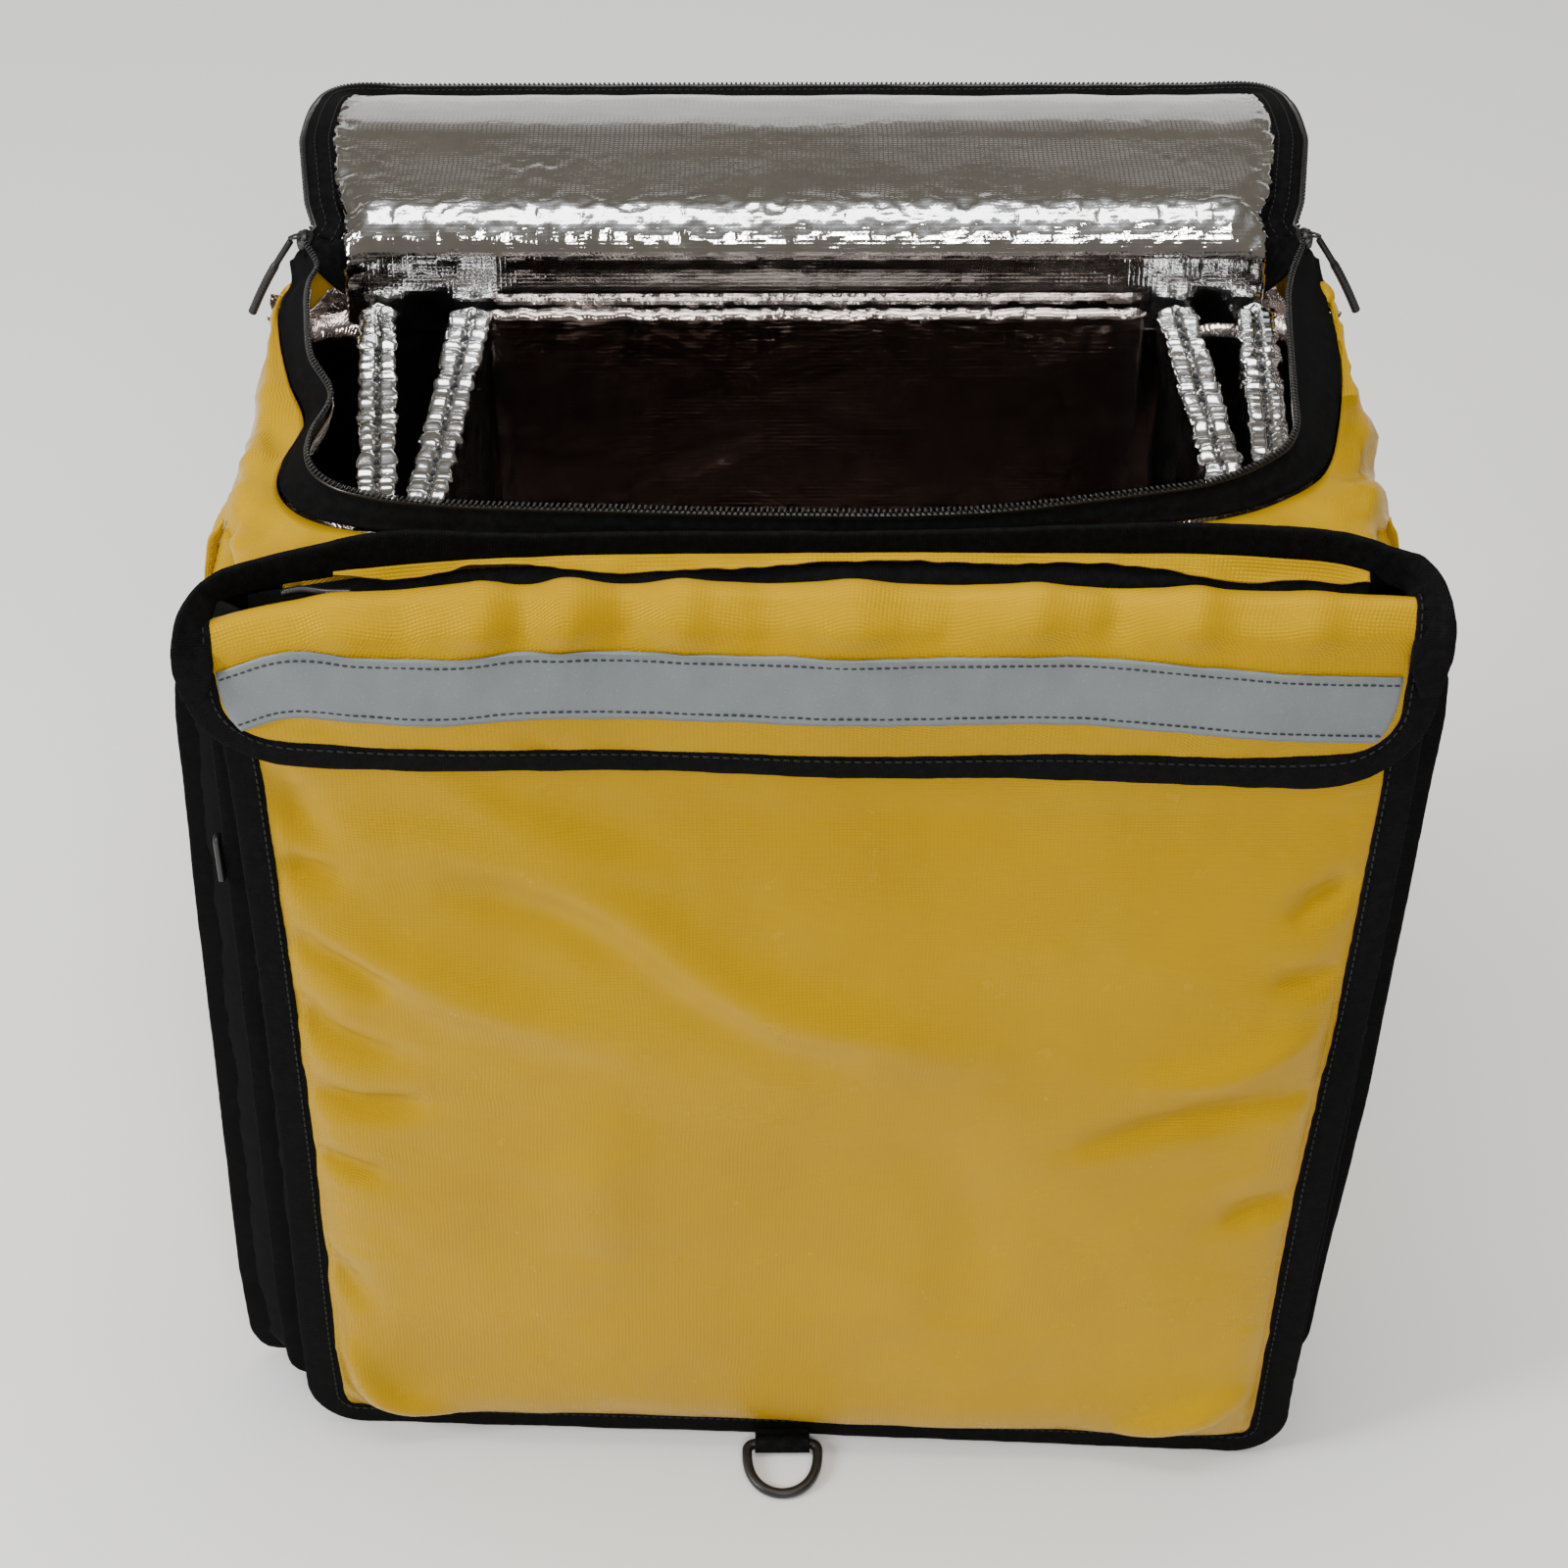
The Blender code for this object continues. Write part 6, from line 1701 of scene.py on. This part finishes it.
def build_small_pulls(rows, outward):
    """The small pull on the gusset's zip and the cord-like one in the flap's valley."""
    height = 0.369
    index = int(np.argmin(np.abs(rows[2][:90, 2] - height)))
    place_at = rows[2][index] + outward[index] * (0.001 + 0.00195 + RIDGE_WIDTH + 0.0015)
    share = np.linspace(-1.0, 1.0, 40)
    line = place_at + xyz(0.0, 0.0006 * share, 0.012 * share)
    ends = np.sqrt(np.clip((1.004 - np.abs(share)) / 0.10, 0.02, 1.0))
    tape_piece("gusset_pull", line, Y_WAY, 0.0068 * ends,
               0.0030 * ends, "black_plastic", 3.5, 20, node="gusset_zip_pull")

    x = -POCKET_HALF_WIDTH * 0.80
    y = float(root_line(x)[0]) - 0.0095
    z = FLAP_TOP - 0.012 - 0.0006
    line = np.array([(x - 0.014, y + 0.0005, z - 0.0008), (x - 0.006, y + 0.0012, z + 0.0004),
                     (x + 0.004, y - 0.0008, z + 0.0006), (x + 0.014, y + 0.0006, z - 0.0006)])
    line = resample(line, 60)
    share = np.linspace(0.0, 1.0, 60)
    radius = 0.0016 * np.sqrt(np.clip(np.minimum(share, 1.0 - share) / 0.04, 0.05, 1.0))
    radius = radius * (1.0 + 0.06 * np.sin(share * 2.0 * math.pi * 22.0))
    rod("valley_puller", line, radius, "zip_teeth", node="pocket_zip_puller")


StrapPoint = namedtuple("StrapPoint", "height across off")
STRAP = (
    StrapPoint(0.885, 0.215, 0.0050),
    StrapPoint(0.860, 0.230, 0.0130),
    StrapPoint(0.800, 0.260, 0.0300),
    StrapPoint(0.700, 0.315, 0.0420),
    StrapPoint(0.580, 0.370, 0.0460),
    StrapPoint(0.460, 0.420, 0.0400),
    StrapPoint(0.360, 0.460, 0.0280),
)
WEBBING = (
    StrapPoint(0.300, 0.487, 0.0190),
    StrapPoint(0.220, 0.525, 0.0120),
    StrapPoint(0.140, 0.570, 0.0060),
    StrapPoint(0.060, 0.620, 0.0018),
)


def strap_line(points, side, count):
    z = column(points, "height") * BODY_HEIGHT
    x = side * column(points, "across") * BODY_HALF_WIDTH
    line = xyz(x, body_wall(x, z, 1.0) + column(points, "off"), z)
    return resample(line, count)


def build_straps():
    """Padded shoulder straps, their webbing and buckles."""
    for name, side in (("left", -1.0), ("right", 1.0)):
        line = strap_line(STRAP, side, 110)
        wide = X_WAY
        share = np.linspace(0.0, 1.0, 110)
        ends = 1.0 - 0.10 * np.exp(-(share / 0.02) ** 2) - 0.22 * smooth_step(0.93, 1.0, share)
        tape_piece("padded_strap_" + name, line, wide, 0.063 * ends, 0.0085, "strap_cloth", 4.5, 44,
                   0.0006, 0.030, 81.0, node="shoulder_strap_" + name)
        _, across, out = path_frame(line, wide)
        for edge in (-1.0, 1.0):
            rim = line + across * (edge * 0.0312 * ends)[:, None]
            piece = "%s_%d" % (name, edge > 0.0)
            tape_piece("strap_edge_" + piece, rim, across, 0.0026, 0.0092, "black_tape", 3.0, 12,
                       0.0002, 0.01, 82.0)
        for edge in (-1.0, 1.0):
            seam = line + across * (edge * 0.0272 * ends)[:, None] + out * (0.00435 * np.sign(out[:, 1:2]))
            facing = out * np.sign(out[:, 1:2])
            stitch_line("strap_stitches_%s_%d" % (name, edge > 0.0), seam[2:-2], facing[2:-2],
                        "dark_thread", 0.0042, 0.0030)
        line = strap_line(WEBBING, side, 60)
        line = resample(np.vstack([line[0] + unit(line[0] - line[3]) * 0.0030, line]), 60)
        tape_piece("webbing_" + name, line, X_WAY, 0.0245, 0.0018,
                   "webbing", 5.0, 20, 0.0005, 0.02, 83.0, node="strap_webbing_" + name)
        build_buckle(name, side)


def build_buckle(name, side):
    """A ladder buckle: a rounded frame with two bars."""
    high, low = STRAP[-1], WEBBING[0]
    z = (high.height + low.height) / 2.0 * BODY_HEIGHT
    x = side * (high.across + low.across) / 2.0 * BODY_HALF_WIDTH
    middle = np.array([x, float(body_wall(x, z, 1.0)) + (high.off + low.off) / 2.0, z])
    tall = (high.height - low.height) * BODY_HEIGHT - 0.0005
    half_wide, half_tall = 0.0147, tall / 2.0 - 0.0023
    turn = np.linspace(0.0, 2.0 * math.pi, 240, endpoint=False)
    reach = squared_loop(half_wide, half_tall, 7.0, turn)
    loop = middle + xyz(reach * np.cos(turn), 0.0, reach * np.sin(turn))
    frame_loop = even(loop, 120, closed=True)
    tape_piece("buckle_" + name, frame_loop, Y_WAY, 0.0046, 0.0046,
               "black_plastic", 3.0, 16, closed=True, node="strap_buckle_" + name)
    for number, rise in ((1, 0.18), (2, -0.32)):
        bar_x = np.linspace(-half_wide, half_wide, 20)
        bar = middle + xyz(bar_x, 0.0, np.full(20, tall * rise))
        tape_piece("buckle_bar_%s_%d" % (name, number), bar, Z_WAY, 0.0052, 0.0034,
                   "black_plastic", 3.5, 14)


def build_bag():
    outside = build_body()
    build_side_seams()
    build_rim()
    build_lid()
    build_tape_ends()
    build_liner(outside)
    build_boards()
    build_front_panel()
    rows, outward = build_gusset()
    build_flap()
    build_root()
    build_ring()
    build_sliders()
    build_small_pulls(rows, outward)
    build_straps()


LAMPS = table(
    "name place aim size power colour",
    ("overhead", (0.0, 0.1, 2.9), (0.0, 0.0, 0.0), (2.4, 1.3), 62.0, (1.0, 0.985, 0.96)),
    ("front_window", (0.35, -2.5, 2.3), (0.0, 0.0, 0.4), (1.1, 0.5), 46.0, (1.0, 0.98, 0.95)),
    ("side_window", (-2.2, -0.85, 1.5), (0.0, 0.0, 0.3), (0.6, 1.1), 56.0, (0.96, 0.98, 1.0)),
    ("backdrop", (0.0, 2.3, 0.66), (0.0, 0.0, 0.66), (5.0, 1.3), 11.0, (1.0, 1.0, 1.0)),
)
FLOOR_REACH = 8.0
CAMERA_LENS = 67.95
CAMERA_PLACE = (-0.013, -1.054, 1.217)
CAMERA_TILT = math.radians(49.0)
CAMERA_TURN = math.radians(-0.18)


def build_stage():
    """Pale floor, soft lights and the camera."""
    mesh = bpy.data.meshes.new("floor")
    corners = ((-1.0, -1.0), (1.0, -1.0), (1.0, 1.0), (-1.0, 1.0))
    mesh.from_pydata([(x * FLOOR_REACH, y * FLOOR_REACH, 0.0) for x, y in corners], [], [(0, 1, 2, 3)])
    mesh.materials.append(pale_floor())
    floor = bpy.data.objects.new("floor", mesh)
    bpy.context.scene.collection.objects.link(floor)
    for lamp in LAMPS:
        data = bpy.data.lights.new(lamp.name, "AREA")
        data.shape = "RECTANGLE"
        data.size, data.size_y = lamp.size
        data.energy = lamp.power
        data.color = lamp.colour
        item = bpy.data.objects.new(lamp.name, data)
        item.location = lamp.place
        aim = Vector(lamp.aim) - Vector(lamp.place)
        item.rotation_euler = aim.to_track_quat("-Z", "Y").to_euler()
        bpy.context.scene.collection.objects.link(item)
    camera = bpy.data.cameras.new("camera")
    camera.lens = CAMERA_LENS
    camera.sensor_width = 36.0
    view = bpy.data.objects.new("camera", camera)
    view.location = CAMERA_PLACE
    view.rotation_euler = (CAMERA_TILT, 0.0, CAMERA_TURN)
    bpy.context.scene.collection.objects.link(view)
    bpy.context.scene.camera = view
    build_world()


SKY = table(
    "height colour",
    (0.00, (0.17, 0.150, 0.125)),
    (0.60, (0.18, 0.160, 0.130)),
    (0.80, (0.32, 0.31, 0.29)),
    (0.95, (0.85, 0.86, 0.88)),
)


def build_world():
    """A warm dark horizon under a light sky, as the foil mirrors them."""
    world = bpy.data.worlds.new("studio")
    bpy.context.scene.world = world
    world.use_nodes = True
    tree = world.node_tree
    back = tree.nodes["Background"]
    place_node = tree.nodes.new("ShaderNodeTexCoord")
    split = tree.nodes.new("ShaderNodeSeparateXYZ")
    ramp = tree.nodes.new("ShaderNodeValToRGB")
    tree.links.new(place_node.outputs["Generated"], split.inputs[0])
    tree.links.new(split.outputs["Z"], ramp.inputs["Fac"])
    tree.links.new(ramp.outputs["Color"], back.inputs["Color"])
    stops = ramp.color_ramp.elements
    stops[0].position, stops[1].position = SKY[0].height, SKY[-1].height
    stops[0].color, stops[1].color = (*SKY[0].colour, 1.0), (*SKY[-1].colour, 1.0)
    for stop in SKY[1:-1]:
        stops.new(stop.height).color = (*stop.colour, 1.0)
    back.inputs["Strength"].default_value = 1.0


build_bag()
build_stage()
